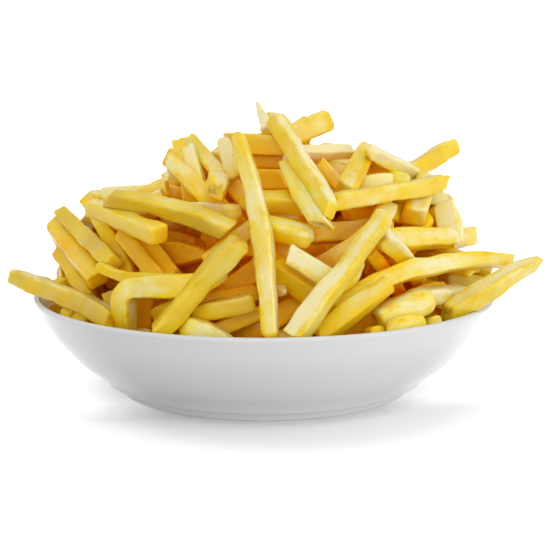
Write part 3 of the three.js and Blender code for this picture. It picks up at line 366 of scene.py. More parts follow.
def smooth_line(points, step):
    """A natural cubic spline through the points, at even steps. Returns the points and the length."""
    p = np.asarray(points, float)
    t = np.r_[0, np.cumsum(np.linalg.norm(np.diff(p, axis=0), axis=1))]
    n = len(p)
    h = np.diff(t)
    m = np.zeros((n, 3))
    if n > 2:
        a = np.zeros((n, n))
        b = np.zeros((n, 3))
        a[0, 0] = a[-1, -1] = 1
        for k in range(1, n - 1):
            a[k, k - 1], a[k, k], a[k, k + 1] = h[k - 1], 2 * (h[k - 1] + h[k]), h[k]
            b[k] = 6 * ((p[k + 1] - p[k]) / h[k] - (p[k] - p[k - 1]) / h[k - 1])
        m = np.linalg.solve(a, b)

    def at(u):
        k = np.clip(np.searchsorted(t, u, side="right") - 1, 0, n - 2)
        w = (u - t[k])[:, None]
        hk = h[k][:, None]
        return (m[k] * (hk - w) ** 3 + m[k + 1] * w ** 3) / (6 * hk) + (p[k] / hk - m[k] * hk / 6) * (hk - w) \
            + (p[k + 1] / hk - m[k + 1] * hk / 6) * w

    fine = at(np.linspace(0, t[-1], 400))
    s = np.r_[0, np.cumsum(np.linalg.norm(np.diff(fine, axis=0), axis=1))]
    return fine, s


def frames_along(line, first):
    """Unit tangents, and two section axes carried along the line without twist, the first starting near `first`."""
    t = np.gradient(line, axis=0)
    t /= np.linalg.norm(t, axis=1)[:, None]
    a = np.zeros_like(t)
    v = np.asarray(first, float)
    for k in range(len(t)):
        v = v - (v @ t[k]) * t[k]
        v = v / np.linalg.norm(v)
        a[k] = v
    return t, a, np.cross(t, a)


def rounded_section(around, radius):
    """x, y on a rounded square of half width 1, and how near each point is to a corner (1) or a face's middle (0)."""
    per = around // 4
    arc = 3 if per < 5 else 4
    flat = per - arc
    xs, ys, cs = [], [], []
    for q in range(4):
        ca, sa = math.cos(q * math.pi / 2), math.sin(q * math.pi / 2)
        row = []
        for k in range(flat):
            y = -(1 - radius) + 2 * (1 - radius) * (k + 1) / (flat + 1)
            row.append((1.0, y, 0.0))
        for k in range(arc):
            g = math.pi / 2 * k / (arc - 1)
            row.append((1 - radius + radius * math.cos(g), 1 - radius + radius * math.sin(g), 1.0))
        for x, y, c in row:
            xs.append(x * ca - y * sa)
            ys.append(x * sa + y * ca)
            cs.append(c)
    return np.array(xs), np.array(ys), np.array(cs)


INNER_Z = np.array([z for z, r in INNER] + [RIM_TOP])
INNER_R = np.array([r for z, r in INNER] + [RIM_R - RIM_HALF])


def keep_off_bowl(v):
    """Moves points that would lie in the bowl's wall, floor or rim to its surface, so a fry leans on the bowl."""
    r = np.hypot(v[:, 0], v[:, 1])
    z = v[:, 2]
    wall = np.interp(z, INNER_Z, INNER_R) - 0.25
    inside = r - wall
    top = RIM_TOP + 0.25 - z
    hit = (z < RIM_TOP + 0.25) & (inside > 0) & (r < 106)
    up = hit & (top < inside)
    back = hit & ~up
    v[up, 2] = RIM_TOP + 0.25
    scale = np.where(back, wall / np.maximum(r, 1e-6), 1)
    v[:, 0] *= scale
    v[:, 1] *= scale
    v[:, 2] = np.maximum(v[:, 2], 8.5)
    return v


def fry(points, side3, first, tone, olive, bare, ends, around, step, rng, uneven=1.0):
    """One fry as vertices, faces and the values its material reads."""
    line, s = smooth_line(points, step)
    length = s[-1]
    wob = rng.uniform(0, 30, 3)
    side = lambda u: np.interp(u / length, [0, 0.5, 1], side3)  # noqa: E731
    h0, h1 = side(0.0) / 2, side(length) / 2

    # stations: even along the body, closer where an end rounds off
    def end_part(kind, h):
        if kind in "rb":
            reach, power = h * rng.uniform(1.0, 1.35) * (1.25 if kind == "b" else 1.0), 2.0 if kind == "b" else 2.3
            d = reach * (1 - np.cos(np.linspace(0.30, math.pi / 2, 6)))
            sc = (1 - np.clip(1 - d / reach, 0, 1) ** power) ** (1 / power)
        elif kind == "p":
            reach = h * rng.uniform(3.6, 4.4)
            d = reach * np.array([0.0, 0.02, 0.06, 0.14, 0.28, 0.46, 0.66, 0.84])
            sc = 0.22 + 0.78 * (d / reach) ** 0.62
            sc[0] *= 0.55
        else:
            radius = rng.uniform(0.7, 1.6)
            d = radius * (1 - np.cos(np.linspace(0, math.pi / 2, 5)))
            sc = 1 - radius * (1 - np.sin(np.linspace(0, math.pi / 2, 5))) / h
            reach = radius
        return d, sc, reach

    d0, c0, r0 = end_part(ends[0], h0)
    d1, c1, r1 = end_part(ends[1], h1)
    r0, r1 = min(r0, length * 0.4), min(r1, length * 0.4)
    n = max(4, int(round((length - r0 - r1) / step)))
    body = np.linspace(r0, length - r1, n + 1)[1:-1]
    u = np.r_[d0, body, length - d1[::-1]]
    shrink = np.r_[c0, np.ones(len(body)), c1[::-1]]
    order = np.argsort(u, kind="stable")
    u, shrink = u[order], shrink[order]
    c = np.stack([np.interp(u, s, line[:, k]) for k in range(3)], 1)
    t, a, b = frames_along(c, first)
    t_fine, a_fine, b_fine = frames_along(line, first)
    t = np.stack([np.interp(u, s, t_fine[:, k]) for k in range(3)], 1)
    a = np.stack([np.interp(u, s, a_fine[:, k]) for k in range(3)], 1)
    t /= np.linalg.norm(t, axis=1)[:, None]
    a -= (a * t).sum(1)[:, None] * t
    a /= np.linalg.norm(a, axis=1)[:, None]
    b = np.cross(t, a)

    # a slow waver of the line and of the two widths
    def slow(k, wave):
        return NOISE[k]((np.stack([u / wave, np.full_like(u, wob[0] + 3 * k), np.full_like(u, wob[1])], 1)))

    c = c + a * ((slow(0, 15) * 0.5 + slow(2, 6) * 0.13) * uneven)[:, None] + b * ((slow(1, 15) * 0.5 + slow(3, 6) * 0.13) * uneven)[:, None]
    h = side(u) / 2
    aspect = 1 + 0.05 * uneven * rng.normal()
    narrow = 1.0
    for at, kind in ((u, ends[0]), (length - u, ends[1])):
        narrow = narrow * (1 - (rng.uniform(0.02, 0.16) if kind in "fsud" else 0.0) * np.clip(1 - at / 9.0, 0, 1) ** 1.5)
    ha = h * aspect * (1 + uneven * (0.085 * slow(2, 13) + 0.03 * slow(0, 5))) * shrink * narrow
    hb = h / aspect * (1 + uneven * (0.085 * slow(3, 13) + 0.03 * slow(1, 5))) * shrink * narrow
    twist = math.radians(rng.normal(0, 5) * uneven) * (u / length - 0.5)

    radius = rng.uniform(0.18, 0.34) + (0.22 if "b" in ends else 0.0)
    x0, y0, corner = rounded_section(around, radius)
    m, k = len(u), around
    # faces sink in a little between their edges, more in some places than in others
    q = (np.arange(k) // (k // 4)) % 4
    along_face = np.where(q % 2 == 0, y0, x0)
    dip = (1 - np.clip(np.abs(along_face), 0, 1) ** 2) * (1 - corner)
    uu = np.repeat(u, k)
    lump = NOISE[0](np.stack([uu / 9.0 + wob[2], np.tile(q * 5.3, m) + wob[0], np.tile(along_face * 0.5, m)], 1))
    depth = (0.045 + 0.06 * np.clip(lump + 0.25, 0, 1.2)) * uneven * np.tile(dip, m)
    x = np.tile(x0, m) * (1 - np.tile(q % 2 == 0, m) * depth)
    y = np.tile(y0, m) * (1 - np.tile(q % 2 == 1, m) * depth)
    # some lengths of edge are worn round, others stay crisp
    far_out = np.hypot(x0, y0)
    soft = NOISE[2](np.stack([uu / 12.0 + wob[1], np.tile(x0 * 0.7, m) + wob[2], np.tile(y0 * 0.7, m) + wob[0]], 1))
    soft = np.clip((0.55 if "b" in ends else 0.16) + 0.50 * soft, 0.0, 0.65) * uneven
    x = x + soft * (np.tile(x0 / far_out * 1.05, m) - x)
    y = y + soft * (np.tile(y0 / far_out * 1.05, m) - y)
    x, y = x * np.repeat(ha, k), y * np.repeat(hb, k)
    # a few knots and dents
    turn = np.tile(np.arctan2(y0, x0), m)
    swell = np.zeros(m * k)
    for _ in range(int(rng.integers(1, 2 + int(length / 22)))):
        at, way, wide = rng.uniform(0.08, 0.92) * length, rng.uniform(-math.pi, math.pi), rng.uniform(1.8, 3.4)
        swing = np.angle(np.exp(1j * (turn - way)))
        swell += rng.choice([-1, 1], p=[0.45, 0.55]) * rng.uniform(0.2, 0.55) * np.exp(-((uu - at) / wide) ** 2 - (swing / 0.75) ** 2)
    place = np.stack([uu, x, y], 1)
    grow = 0.30 * NOISE[1](place / 6.5 + wob) + 0.08 * NOISE[2](place / 3.2 + wob) + swell
    reach = np.maximum(np.hypot(x, y), 0.3)
    x, y = x * (1 + grow * uneven / reach), y * (1 + grow * uneven / reach)
    ct, st = np.repeat(np.cos(twist), k), np.repeat(np.sin(twist), k)
    x, y = x * ct - y * st, x * st + y * ct

    # cuts that are not quite square, or clearly slanted
    ds = np.zeros(m * k)
    for end, at, kind, sign in ((0, u, ends[0], -1), (1, length - u, ends[1], 1)):
        slope = {"f": rng.normal(0, 0.16), "s": rng.choice([-1, 1]) * rng.uniform(0.5, 0.8)}.get(kind, 0.0)
        if kind in "ud":
            slope = (0.95 if kind == "u" else -0.95) * sign
        slope2 = rng.normal(0, 0.15) if kind in "fsud" else 0.0
        reach = 1.6 * side(u[0] if end == 0 else u[-1])
        w = np.clip(1 - at / reach, 0, 1)
        w = np.repeat(w * w * (3 - 2 * w), k)
        ds += w * (slope * x + slope2 * y + (0.5 if kind in "fsud" else 0.2) * NOISE[3](np.stack([x / 4.5 + wob[0] + 9 * end, y / 4.5 + wob[1], np.full_like(x, wob[2])], 1)))
    v = np.repeat(c, k, 0) + np.repeat(a, k, 0) * x[:, None] + np.repeat(b, k, 0) * y[:, None] + np.repeat(t, k, 0) * ds[:, None]

    ring = np.arange(k)
    nxt = (ring + 1) % k
    quads = np.concatenate([np.stack([i * k + ring, i * k + nxt, (i + 1) * k + nxt, (i + 1) * k + ring], 1) for i in range(m - 1)])
    girth = np.r_[0, np.cumsum(np.hypot(np.diff(np.r_[x0, x0[0]]), np.diff(np.r_[y0, y0[0]])))] * side3[1] / 2
    uv_quads = np.concatenate([np.stack([np.stack([girth[:-1], np.full(k, u[i])], 1), np.stack([girth[1:], np.full(k, u[i])], 1),
                                         np.stack([girth[1:], np.full(k, u[i + 1])], 1), np.stack([girth[:-1], np.full(k, u[i + 1])], 1)], 1)
                               for i in range(m - 1)])
    edge = np.tile(np.maximum(corner, np.abs(along_face) ** 2.5), m).astype(float)
    loc = place.copy()
    u_all = uu.copy()
    tris, uv_tris = [], []
    widest = side3[1]
    for end in (0, 1):
        base = 0 if end == 0 else (m - 1) * k
        ring_v = v[base:base + k]
        mid = ring_v.mean(0)
        out = -t[0] if end == 0 else t[-1]
        dent = rng.uniform(-0.35, 0.25) if ends[end] in "fsud" else 0.12 * widest * (0.3 if ends[end] == "p" else 0.6)
        prev = base
        size = np.hypot(x, y)[base:base + k].mean()
        cap_uv = np.stack([x[base:base + k], y[base:base + k]], 1)
        centre_uv = np.array([girth[-1] + 0.62 * widest + 0.6, widest * 0.62 if end == 0 else length - widest * 0.62])
        for share in (0.66, 0.33):
            bump = NOISE[3](np.concatenate([ring_v * 0.2 * share, ], 0) + wob) * 0.22
            new = mid + (ring_v - mid) * share + out * (dent * (1 - share ** 2) + bump[:, None] * (1 if ends[end] in "fsud" else 0.2))
            start = len(v)
            v = np.vstack([v, new])
            edge = np.r_[edge, np.full(k, 0.15)]
            loc = np.vstack([loc, np.stack([np.full(k, u_all[base]), cap_uv[:, 0] * share, cap_uv[:, 1] * share], 1)])
            u_all = np.r_[u_all, np.full(k, u_all[base])]
            f = np.stack([prev + ring, start + ring, start + nxt, prev + nxt], 1)
            share_prev = 1.0 if share == 0.66 else 0.66
            g = np.stack([centre_uv + cap_uv * share_prev, centre_uv + cap_uv * share, centre_uv + cap_uv[nxt] * share,
                          centre_uv + cap_uv[nxt] * share_prev], 1)
            if end == 1:
                f, g = f[:, ::-1], g[:, ::-1]
            quads = np.vstack([quads, f])
            uv_quads = np.concatenate([uv_quads, g])
            prev = start
        tip = len(v)
        v = np.vstack([v, mid + out * dent])
        edge = np.r_[edge, 0.15]
        loc = np.vstack([loc, [u_all[base], 0, 0]])
        u_all = np.r_[u_all, u_all[base]]
        f = np.stack([prev + ring, np.full(k, tip), prev + nxt], 1)
        g = np.stack([centre_uv + cap_uv * 0.33, np.repeat(centre_uv[None], k, 0), centre_uv + cap_uv[nxt] * 0.33], 1)
        if end == 1:
            f, g = f[:, ::-1], g[:, ::-1]
        tris.append(f)
        uv_tris.append(g)
    v = keep_off_bowl(v)
    # values for the material
    near = np.minimum(u_all, length - u_all)
    far = np.where(u_all < length / 2, rng.uniform(0.0, 1.0) ** 2, rng.uniform(0.0, 1.0) ** 2)
    tip = np.exp(-np.maximum(near, 0) / 2.2) * far
    # painted light and shade: faces turned towards the light from above, the right and the front are made paler, and
    # faces turned away more golden; each of the four faces also gets its own small random tone
    face_n = np.zeros((len(v), 3))
    face_n[:m * k] = np.where(np.tile(q % 2 == 0, m)[:, None], np.repeat(a, k, 0) * np.sign(np.tile(x0, m))[:, None], np.repeat(b, k, 0) * np.sign(np.tile(y0, m))[:, None])
    toward = face_n @ np.array([0.36, -0.26, 0.90])
    by_face = np.zeros(len(v))
    by_face[:m * k] = rng.normal(0, 0.06, 4)[np.tile(q, m)]
    lean = rng.normal(0, 0.13)
    tone_v = tone - PAINTED_LIGHT_FACET * toward + by_face + lean * (u_all / length - 0.5) + 0.10 * NOISE[3](np.stack([u_all / 22 + wob[0], np.full_like(u_all, wob[1]), np.full_like(u_all, wob[2])], 1))
    return {
        "v": v, "quads": quads, "tris": np.concatenate(tris), "uv_quads": uv_quads, "uv_tris": np.concatenate(uv_tris),
        "bare": bare, "tone": tone_v, "edge": edge, "tip": tip, "olive": np.full(len(v), olive) if olive >= 0 else np.r_[np.zeros(m * k), np.full(len(v) - m * k, -olive)], "loc": loc * np.array([0.055, 0.1, 0.1]) + wob,
        "size": (girth[-1] + 1.24 * widest + 1.2, length), "rings": (m, k),
    }


def add_openness(parts, wall):
    """Gives each part `open`, 0 to 1: how far short rays over the outside of a place get before they meet something."""
    reach, count = 30.0, 22
    verts, faces, n = [], [], 0
    for p in parts + [wall]:
        verts.append(p["v"])
        faces += (p["quads"] + n).tolist() + (p["tris"] + n).tolist()
        n += len(p["v"])
    tree = BVHTree.FromPolygons(np.vstack(verts).tolist(), faces)
    rng = np.random.default_rng(SEED + 5)
    spin = np.arange(count) * math.pi * (3 - math.sqrt(5))
    lift = np.sqrt((np.arange(count) + 0.5) / count)
    for p in parts:
        if "rings" not in p:
            # the core has no rings: it gets one low openness throughout, so its material paints it in deep shade
            p["open"] = np.full(len(p["v"]), 0.30)
            continue
        m, k = p["rings"]
        grid = p["v"][:m * k].reshape(m, k, 3)
        centre = grid.mean(1, keepdims=True)
        rows = np.unique(np.r_[np.arange(0, m, 2), m - 1])
        cols = np.arange(0, k, k // 8)
        spots = grid[rows][:, cols]
        normal = np.cross(np.roll(grid, -1, 1) - np.roll(grid, 1, 1), np.gradient(grid, axis=0))[rows][:, cols]
        out = spots - centre[rows]
        normal *= np.sign((normal * out).sum(-1, keepdims=True) + 1e-9)
        short = np.linalg.norm(normal, axis=-1, keepdims=True)
        normal = np.where(short > 1e-6, normal / np.maximum(short, 1e-6), out / np.maximum(np.linalg.norm(out, axis=-1, keepdims=True), 1e-6))
        flat, where = normal.reshape(-1, 3), spots.reshape(-1, 3)
        helper = np.where(np.abs(flat[:, 2:3]) < 0.8, [[0.0, 0.0, 1.0]], [[1.0, 0.0, 0.0]])
        ax = np.cross(flat, helper)
        ax /= np.linalg.norm(ax, axis=1)[:, None]
        ay = np.cross(flat, ax)
        g = spin[None] + rng.uniform(0, 2 * math.pi, (len(flat), 1))
        ways = flat[:, None] * np.sqrt(1 - lift ** 2)[None, :, None] + ax[:, None] * (lift * np.cos(g))[..., None] + ay[:, None] * (lift * np.sin(g))[..., None]
        start = where + flat * 0.25
        value = np.zeros(len(flat))
        for i, (origin, fan) in enumerate(zip(start.tolist(), ways.tolist())):
            total = 0.0
            origin = Vector(origin)
            for way in fan:
                d = tree.ray_cast(origin, Vector(way), reach)[3]
                if d is not None:
                    total += 1 - d / reach
            value[i] = 1 - total / count
        value = value.reshape(len(rows), len(cols))
        value = 0.5 * value + 0.25 * (np.roll(value, 1, 1) + np.roll(value, -1, 1))
        if len(rows) > 2:
            value[1:-1] = 0.5 * value[1:-1] + 0.25 * (value[:-2] + value[2:])
        wide = np.concatenate([value, value[:, :1]], 1)
        full = np.stack([np.interp(np.arange(k), np.r_[cols, k], row) for row in wide])
        full = np.stack([np.interp(np.arange(m), rows, full[:, c]) for c in range(k)], 1)
        caps = []
        for row in (full[0], full[-1]):
            caps += [row * 0.66 + row.mean() * 0.34, row * 0.33 + row.mean() * 0.67, [row.mean()]]
        # each fry's own offset is added to its openness, and so to how much painted shade its material gives it
        p["open"] = np.clip(np.r_[full.ravel(), np.concatenate(caps)] + p["bare"], 0, 1)
    for p in parts:
        # how near the outside of the heap a place is: 1 on it, less inside
        p["out"] = np.linalg.norm((p["v"] - (0, 0, RIM_TOP)) / (99, 99, 88) * np.where(p["v"][:, 2:] < RIM_TOP, (1, 1, 0), 1), axis=1)


def pack_maps(parts):
    """Places each part's flat map on shelves in the unit square. Returns offsets in mm and the square's side."""
    order = sorted(range(len(parts)), key=lambda i: -parts[i]["size"][1])
    area = sum((p["size"][0] + 1.5) * (p["size"][1] + 1.5) for p in parts)
    width = math.sqrt(area) * 1.02
    while True:
        x = y = shelf = 0.0
        where = {}
        for i in order:
            w, h = parts[i]["size"][0] + 1.5, parts[i]["size"][1] + 1.5
            if x + w > width:
                x, y, shelf = 0.0, y + shelf, 0.0
            where[i] = (x + 0.75, y + 0.75)
            x += w
            shelf = max(shelf, h)
        if y + shelf <= width:
            return where, width
        width *= 1.01


def to_object(name, parts):
    """Joins parts, in mm, into one mesh object in metres with their values as attributes."""
    where, width = pack_maps(parts)
    v, quads, tris, uq, ut, n = [], [], [], [], [], 0
    for i, p in enumerate(parts):
        v.append(p["v"])
        quads.append(p["quads"] + n)
        tris.append(p["tris"] + n)
        off = np.array(where[i])
        uq.append((p["uv_quads"] + off) / width)
        ut.append((p["uv_tris"] + off) / width)
        n += len(p["v"])
    v, quads, tris = np.vstack(v), np.vstack(quads), np.vstack(tris)
    uv = np.vstack([np.concatenate(uq).reshape(-1, 2), np.concatenate(ut).reshape(-1, 2)])
    mesh = bpy.data.meshes.new(name)
    mesh.vertices.add(n)
    mesh.vertices.foreach_set("co", (v * MM).astype(np.float32).ravel())
    mesh.loops.add(quads.size + tris.size)
    mesh.loops.foreach_set("vertex_index", np.r_[quads.ravel(), tris.ravel()].astype(np.int32))
    mesh.polygons.add(len(quads) + len(tris))
    start = np.r_[np.arange(len(quads)) * 4, quads.size + np.arange(len(tris)) * 3]
    mesh.polygons.foreach_set("loop_start", start.astype(np.int32))
    mesh.update(calc_edges=True)
    mesh.polygons.foreach_set("use_smooth", np.ones(len(mesh.polygons), bool))
    layer = mesh.uv_layers.new(name="OFBake")
    layer.uv.foreach_set("vector", uv.astype(np.float32).ravel())
    for key in ("tone", "edge", "tip", "olive", "open", "out"):
        mesh.attributes.new(key, "FLOAT", "POINT").data.foreach_set("value", np.concatenate([p[key] for p in parts]).astype(np.float32))
    mesh.attributes.new("loc", "FLOAT_VECTOR", "POINT").data.foreach_set("vector", np.vstack([p["loc"] for p in parts]).astype(np.float32).ravel())
    mesh.validate()
    mesh.update()
    obj = bpy.data.objects.new(name, mesh)
    bpy.context.scene.collection.objects.link(obj)
    return obj


# ---------------------------------------------------------------- bowl
def spline(points, count):
    fine, s = smooth_line([(r, 0, z) for r, z in points], 1)
    u = np.linspace(0, s[-1], count)
    return [(float(np.interp(k, s, fine[:, 0])), float(np.interp(k, s, fine[:, 2]))) for k in u]


def fillet(p0, p1, p2, radius, count=5):
    """Points that round the corner p1."""
    p0, p1, p2 = (np.array(p, float) for p in (p0, p1, p2))
    a, b = (p0 - p1) / np.linalg.norm(p0 - p1), (p2 - p1) / np.linalg.norm(p2 - p1)
    s, e = p1 + a * radius, p1 + b * radius
    t = np.linspace(0, 1, count)[:, None]
    return [tuple(q) for q in (1 - t) ** 2 * s + 2 * t * (1 - t) * p1 + t ** 2 * e]


def bowl_profile():
    """(radius, height) from the middle of the underside, up the outside, over the rim and down the inside."""
    line = [(0.0, 2.6), (20, 2.6), (40, 2.6), (55, 2.6)]
    line += fillet((55, 2.6), (59.4, 2.6), (61.4, 0), 0.8)
    line += fillet((59.4, 2.6), (61.4, 0), (66.6, 0), 0.7)
    line += [(64.0, 0.0)]
    line += fillet((61.4, 0), (66.6, 0), (66.0, 3.3), 0.8)
    line += fillet((66.6, 0), (66.0, 3.3), (72.8, 4.5), 1.0)
    line += [(69.5, 3.9)]
    line += fillet((66.0, 3.3), (72.8, 4.5), (75.8, 8), 1.2)
    outer = spline([(r, z) for z, r in OUTER] + [(RIM_R + RIM_HALF, RIM_Z)], 44)
    line += [p for p in outer if p[1] > 5.6]
    for k in range(1, 12):
        g = math.pi * k / 12
        line.append((RIM_R + RIM_HALF * math.cos(g), RIM_Z + (RIM_TOP - RIM_Z) * math.sin(g)))
    line += spline([(RIM_R - RIM_HALF, RIM_Z)] + [(r, z) for z, r in INNER[::-1]] + [(30, 8.2)], 44)
    line += [(15, 8.2), (0.0, 8.2)]
    return np.array(line)


def make_bowl():
    line = bowl_profile()
    seg, m = 256, len(line)
    g = np.linspace(0, 2 * math.pi, seg, endpoint=False)
    v = [np.array([[0, 0, line[0, 1]]])]
    for r, z in line[1:-1]:
        v.append(np.stack([r * np.cos(g), r * np.sin(g), np.full(seg, z)], 1))
    v.append(np.array([[0, 0, line[-1, 1]]]))
    v = np.vstack(v)
    ring = np.arange(seg)
    nxt = (ring + 1) % seg
    quads, uq, tris, ut = [], [], [], []
    arc = np.r_[0, np.cumsum(np.hypot(*np.diff(line, axis=0).T))]
    arc = arc / arc[-1]
    ua, ub = ring / seg, (ring + 1) / seg
    for i in range(m - 3):
        a, b = 1 + i * seg, 1 + (i + 1) * seg
        quads.append(np.stack([a + ring, a + nxt, b + nxt, b + ring], 1))
        lo, hi = arc[i + 1], arc[i + 2]
        uq.append(np.stack([np.stack([ua, np.full(seg, lo)], 1), np.stack([ub, np.full(seg, lo)], 1),
                            np.stack([ub, np.full(seg, hi)], 1), np.stack([ua, np.full(seg, hi)], 1)], 1))
    last, top = 1 + (m - 3) * seg, len(v) - 1
    tris += [np.stack([np.zeros(seg, int), 1 + nxt, 1 + ring], 1), np.stack([np.full(seg, top), last + ring, last + nxt], 1)]
    ut += [np.stack([np.stack([(ua + ub) / 2, np.full(seg, 0.0)], 1), np.stack([ub, np.full(seg, arc[1])], 1), np.stack([ua, np.full(seg, arc[1])], 1)], 1),
           np.stack([np.stack([(ua + ub) / 2, np.full(seg, 1.0)], 1), np.stack([ua, np.full(seg, arc[-2])], 1), np.stack([ub, np.full(seg, arc[-2])], 1)], 1)]
    bare = np.where((v[:, 2] < 0.35) & (np.hypot(v[:, 0], v[:, 1]) > 50), 1.0, 0.0)
    mesh = bpy.data.meshes.new("bowl_porcelain")
    quads, tris = np.vstack(quads), np.vstack(tris)
    mesh.vertices.add(len(v))
    mesh.vertices.foreach_set("co", (v * MM).astype(np.float32).ravel())
    mesh.loops.add(quads.size + tris.size)
    mesh.loops.foreach_set("vertex_index", np.r_[quads.ravel(), tris.ravel()].astype(np.int32))
    mesh.polygons.add(len(quads) + len(tris))
    mesh.polygons.foreach_set("loop_start", np.r_[np.arange(len(quads)) * 4, quads.size + np.arange(len(tris)) * 3].astype(np.int32))
    mesh.update(calc_edges=True)
    mesh.polygons.foreach_set("use_smooth", np.ones(len(mesh.polygons), bool))
    uv = np.vstack([np.concatenate(uq).reshape(-1, 2), np.concatenate(ut).reshape(-1, 2)]) * 0.99 + 0.005
    mesh.uv_layers.new(name="OFBake").uv.foreach_set("vector", uv.astype(np.float32).ravel())
    mesh.attributes.new("bare", "FLOAT", "POINT").data.foreach_set("value", bare.astype(np.float32))
    mesh.validate()
    obj = bpy.data.objects.new("bowl_porcelain", mesh)
    bpy.context.scene.collection.objects.link(obj)
    return obj


# ---------------------------------------------------------------- core of the heap
def make_core():
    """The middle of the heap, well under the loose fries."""
    around, up = 120, 64
    v, locs = [], []
    phi = np.linspace(-math.pi / 2, math.pi / 2, up + 1)
    g = np.linspace(0, 2 * math.pi, around, endpoint=False)
    for p in phi[1:-1]:
        if p >= 0:
            r, z = 99 * CORE * math.cos(p), 44.1 + 88 * CORE * math.sin(p)
        else:
            z = 44.1 + 29 * math.sin(p)
            r = min(99 * CORE, float(np.interp(z, INNER_Z, INNER_R)) - 10) * max(math.cos(p), 0.0) ** 0.35
        v.append(np.stack([r * np.cos(g), r * np.sin(g), np.full(around, z)], 1))
    v = np.vstack([[[0, 0, 15.1]]] + v + [[[0, 0, 44.1 + 88 * CORE]]])
    out = v - np.array([0, 0, 44.1])
    out /= np.linalg.norm(out, axis=1)[:, None]
    cell = np.abs(NOISE[0](v / 11.0)) + 0.6 * np.abs(NOISE[1](v / 6.0 + 7))
    v = v + out * (2.2 - 6.5 * cell + 0.8 * NOISE[2](v / 3.0))[:, None]
    ring = np.arange(around)
    nxt = (ring + 1) % around
    quads = np.concatenate([np.stack([1 + i * around + ring, 1 + i * around + nxt, 1 + (i + 1) * around + nxt, 1 + (i + 1) * around + ring], 1) for i in range(up - 2)])
    ua, ub = ring * 5.0, (ring + 1) * 5.0
    uv_quads = np.concatenate([np.stack([np.stack([ua, np.full(around, i * 4.0)], 1), np.stack([ub, np.full(around, i * 4.0)], 1),
                                         np.stack([ub, np.full(around, i * 4.0 + 4)], 1), np.stack([ua, np.full(around, i * 4.0 + 4)], 1)], 1) for i in range(1, up - 1)])
    last = 1 + (up - 2) * around
    tris = np.concatenate([np.stack([np.zeros(around, int), 1 + nxt, 1 + ring], 1), np.stack([np.full(around, len(v) - 1), last + ring, last + nxt], 1)])
    uv_tris = np.concatenate([np.stack([np.stack([(ua + ub) / 2, np.zeros(around)], 1), np.stack([ub, np.full(around, 4.0)], 1), np.stack([ua, np.full(around, 4.0)], 1)], 1),
                              np.stack([np.stack([(ua + ub) / 2, np.full(around, up * 4.0)], 1), np.stack([ua, np.full(around, up * 4.0 - 4)], 1), np.stack([ub, np.full(around, up * 4.0 - 4)], 1)], 1)])
    n = len(v)
    part = {"v": keep_off_bowl(v.copy()), "quads": quads, "tris": tris, "uv_quads": uv_quads, "uv_tris": uv_tris, "tone": np.full(n, 0.85), "edge": np.zeros(n),
            "tip": np.zeros(n), "olive": np.zeros(n), "loc": v / 10, "size": (around * 5.0, up * 4.0)}
    return part


def make_wall():
    """The inside and the rim of the bowl as a coarse surface, for the openness of the fries."""
    line = [(0.0, 8.2)] + [(r, z) for z, r in INNER] + [(RIM_R - RIM_HALF, RIM_Z), (RIM_R, RIM_TOP), (RIM_R + RIM_HALF, RIM_Z)]
    g = np.linspace(0, 2 * math.pi, 48, endpoint=False)
    v = np.concatenate([np.stack([r * np.cos(g), r * np.sin(g), np.full(48, z)], 1) for r, z in line])
    ring = np.arange(48)
    nxt = (ring + 1) % 48
    quads = np.concatenate([np.stack([i * 48 + ring, i * 48 + nxt, (i + 1) * 48 + nxt, (i + 1) * 48 + ring], 1) for i in range(len(line) - 1)])
    return {"v": v, "quads": quads, "tris": np.zeros((0, 3), int)}


# ---------------------------------------------------------------- materials
class Nodes:
    """A short way to add and join shader nodes."""

    def __init__(self, name):
        self.mat = bpy.data.materials.new(name)
        self.mat.use_nodes = True
        self.tree = self.mat.node_tree
        self.tree.nodes.clear()

    def add(self, kind, inputs=None, **settings):
        node = self.tree.nodes.new(kind)
        for key, value in settings.items():
            setattr(node, key, value)
        for key, value in (inputs or {}).items():
            socket = node.inputs[key]
            if isinstance(value, bpy.types.NodeSocket):
                self.tree.links.new(value, socket)
            else:
                socket.default_value = value
        return node

    def maths(self, operation, a, b=0.0, clamp=False):
        return self.add("ShaderNodeMath", {0: a, 1: b}, operation=operation, use_clamp=clamp).outputs[0]

    def attribute(self, name, output="Fac"):
        return self.add("ShaderNodeAttribute", attribute_type="GEOMETRY", attribute_name=name).outputs[output]

    def noise(self, vector, scale, detail=2.0, rough=0.5):
        return self.add("ShaderNodeTexNoise", {"Vector": vector, "Scale": scale, "Detail": detail, "Roughness": rough}, noise_dimensions="3D").outputs["Fac"]

    def ramp(self, value, stops):
        node = self.add("ShaderNodeValToRGB", {"Fac": value})
        e = node.color_ramp.elements
        while len(e) > 1:
            e.remove(e[-1])
        e[0].position, e[0].color = stops[0][0], (*stops[0][1], 1)
        for place, colour in stops[1:]:
            e.new(place).color = (*colour, 1)
        return node.outputs["Color"]

    def mix(self, factor, a, b, blend="MIX"):
        node = self.add("ShaderNodeMix", data_type="RGBA", blend_type=blend)
        for socket, value in ((node.inputs["Factor"], factor), (node.inputs[6], a), (node.inputs[7], b)):
            if isinstance(value, bpy.types.NodeSocket):
                self.tree.links.new(value, socket)
            else:
                socket.default_value = value if not isinstance(value, tuple) else (*value, 1)
        return node.outputs[2]

    def spread(self, value, lo, hi, to_lo=0.0, to_hi=1.0):
        return self.add("ShaderNodeMapRange", {"Value": value, "From Min": lo, "From Max": hi, "To Min": to_lo, "To Max": to_hi}, clamp=True).outputs["Result"]


def srgb(r, g, b):
    """A screen colour, 0-255, of a fully lit face, as the share of light that the face sends back."""
    return tuple(ALBEDO * ((c / 255 / 12.92) if c / 255 <= 0.04045 else ((c / 255 + 0.055) / 1.055) ** 2.4) for c in (r, g, b))


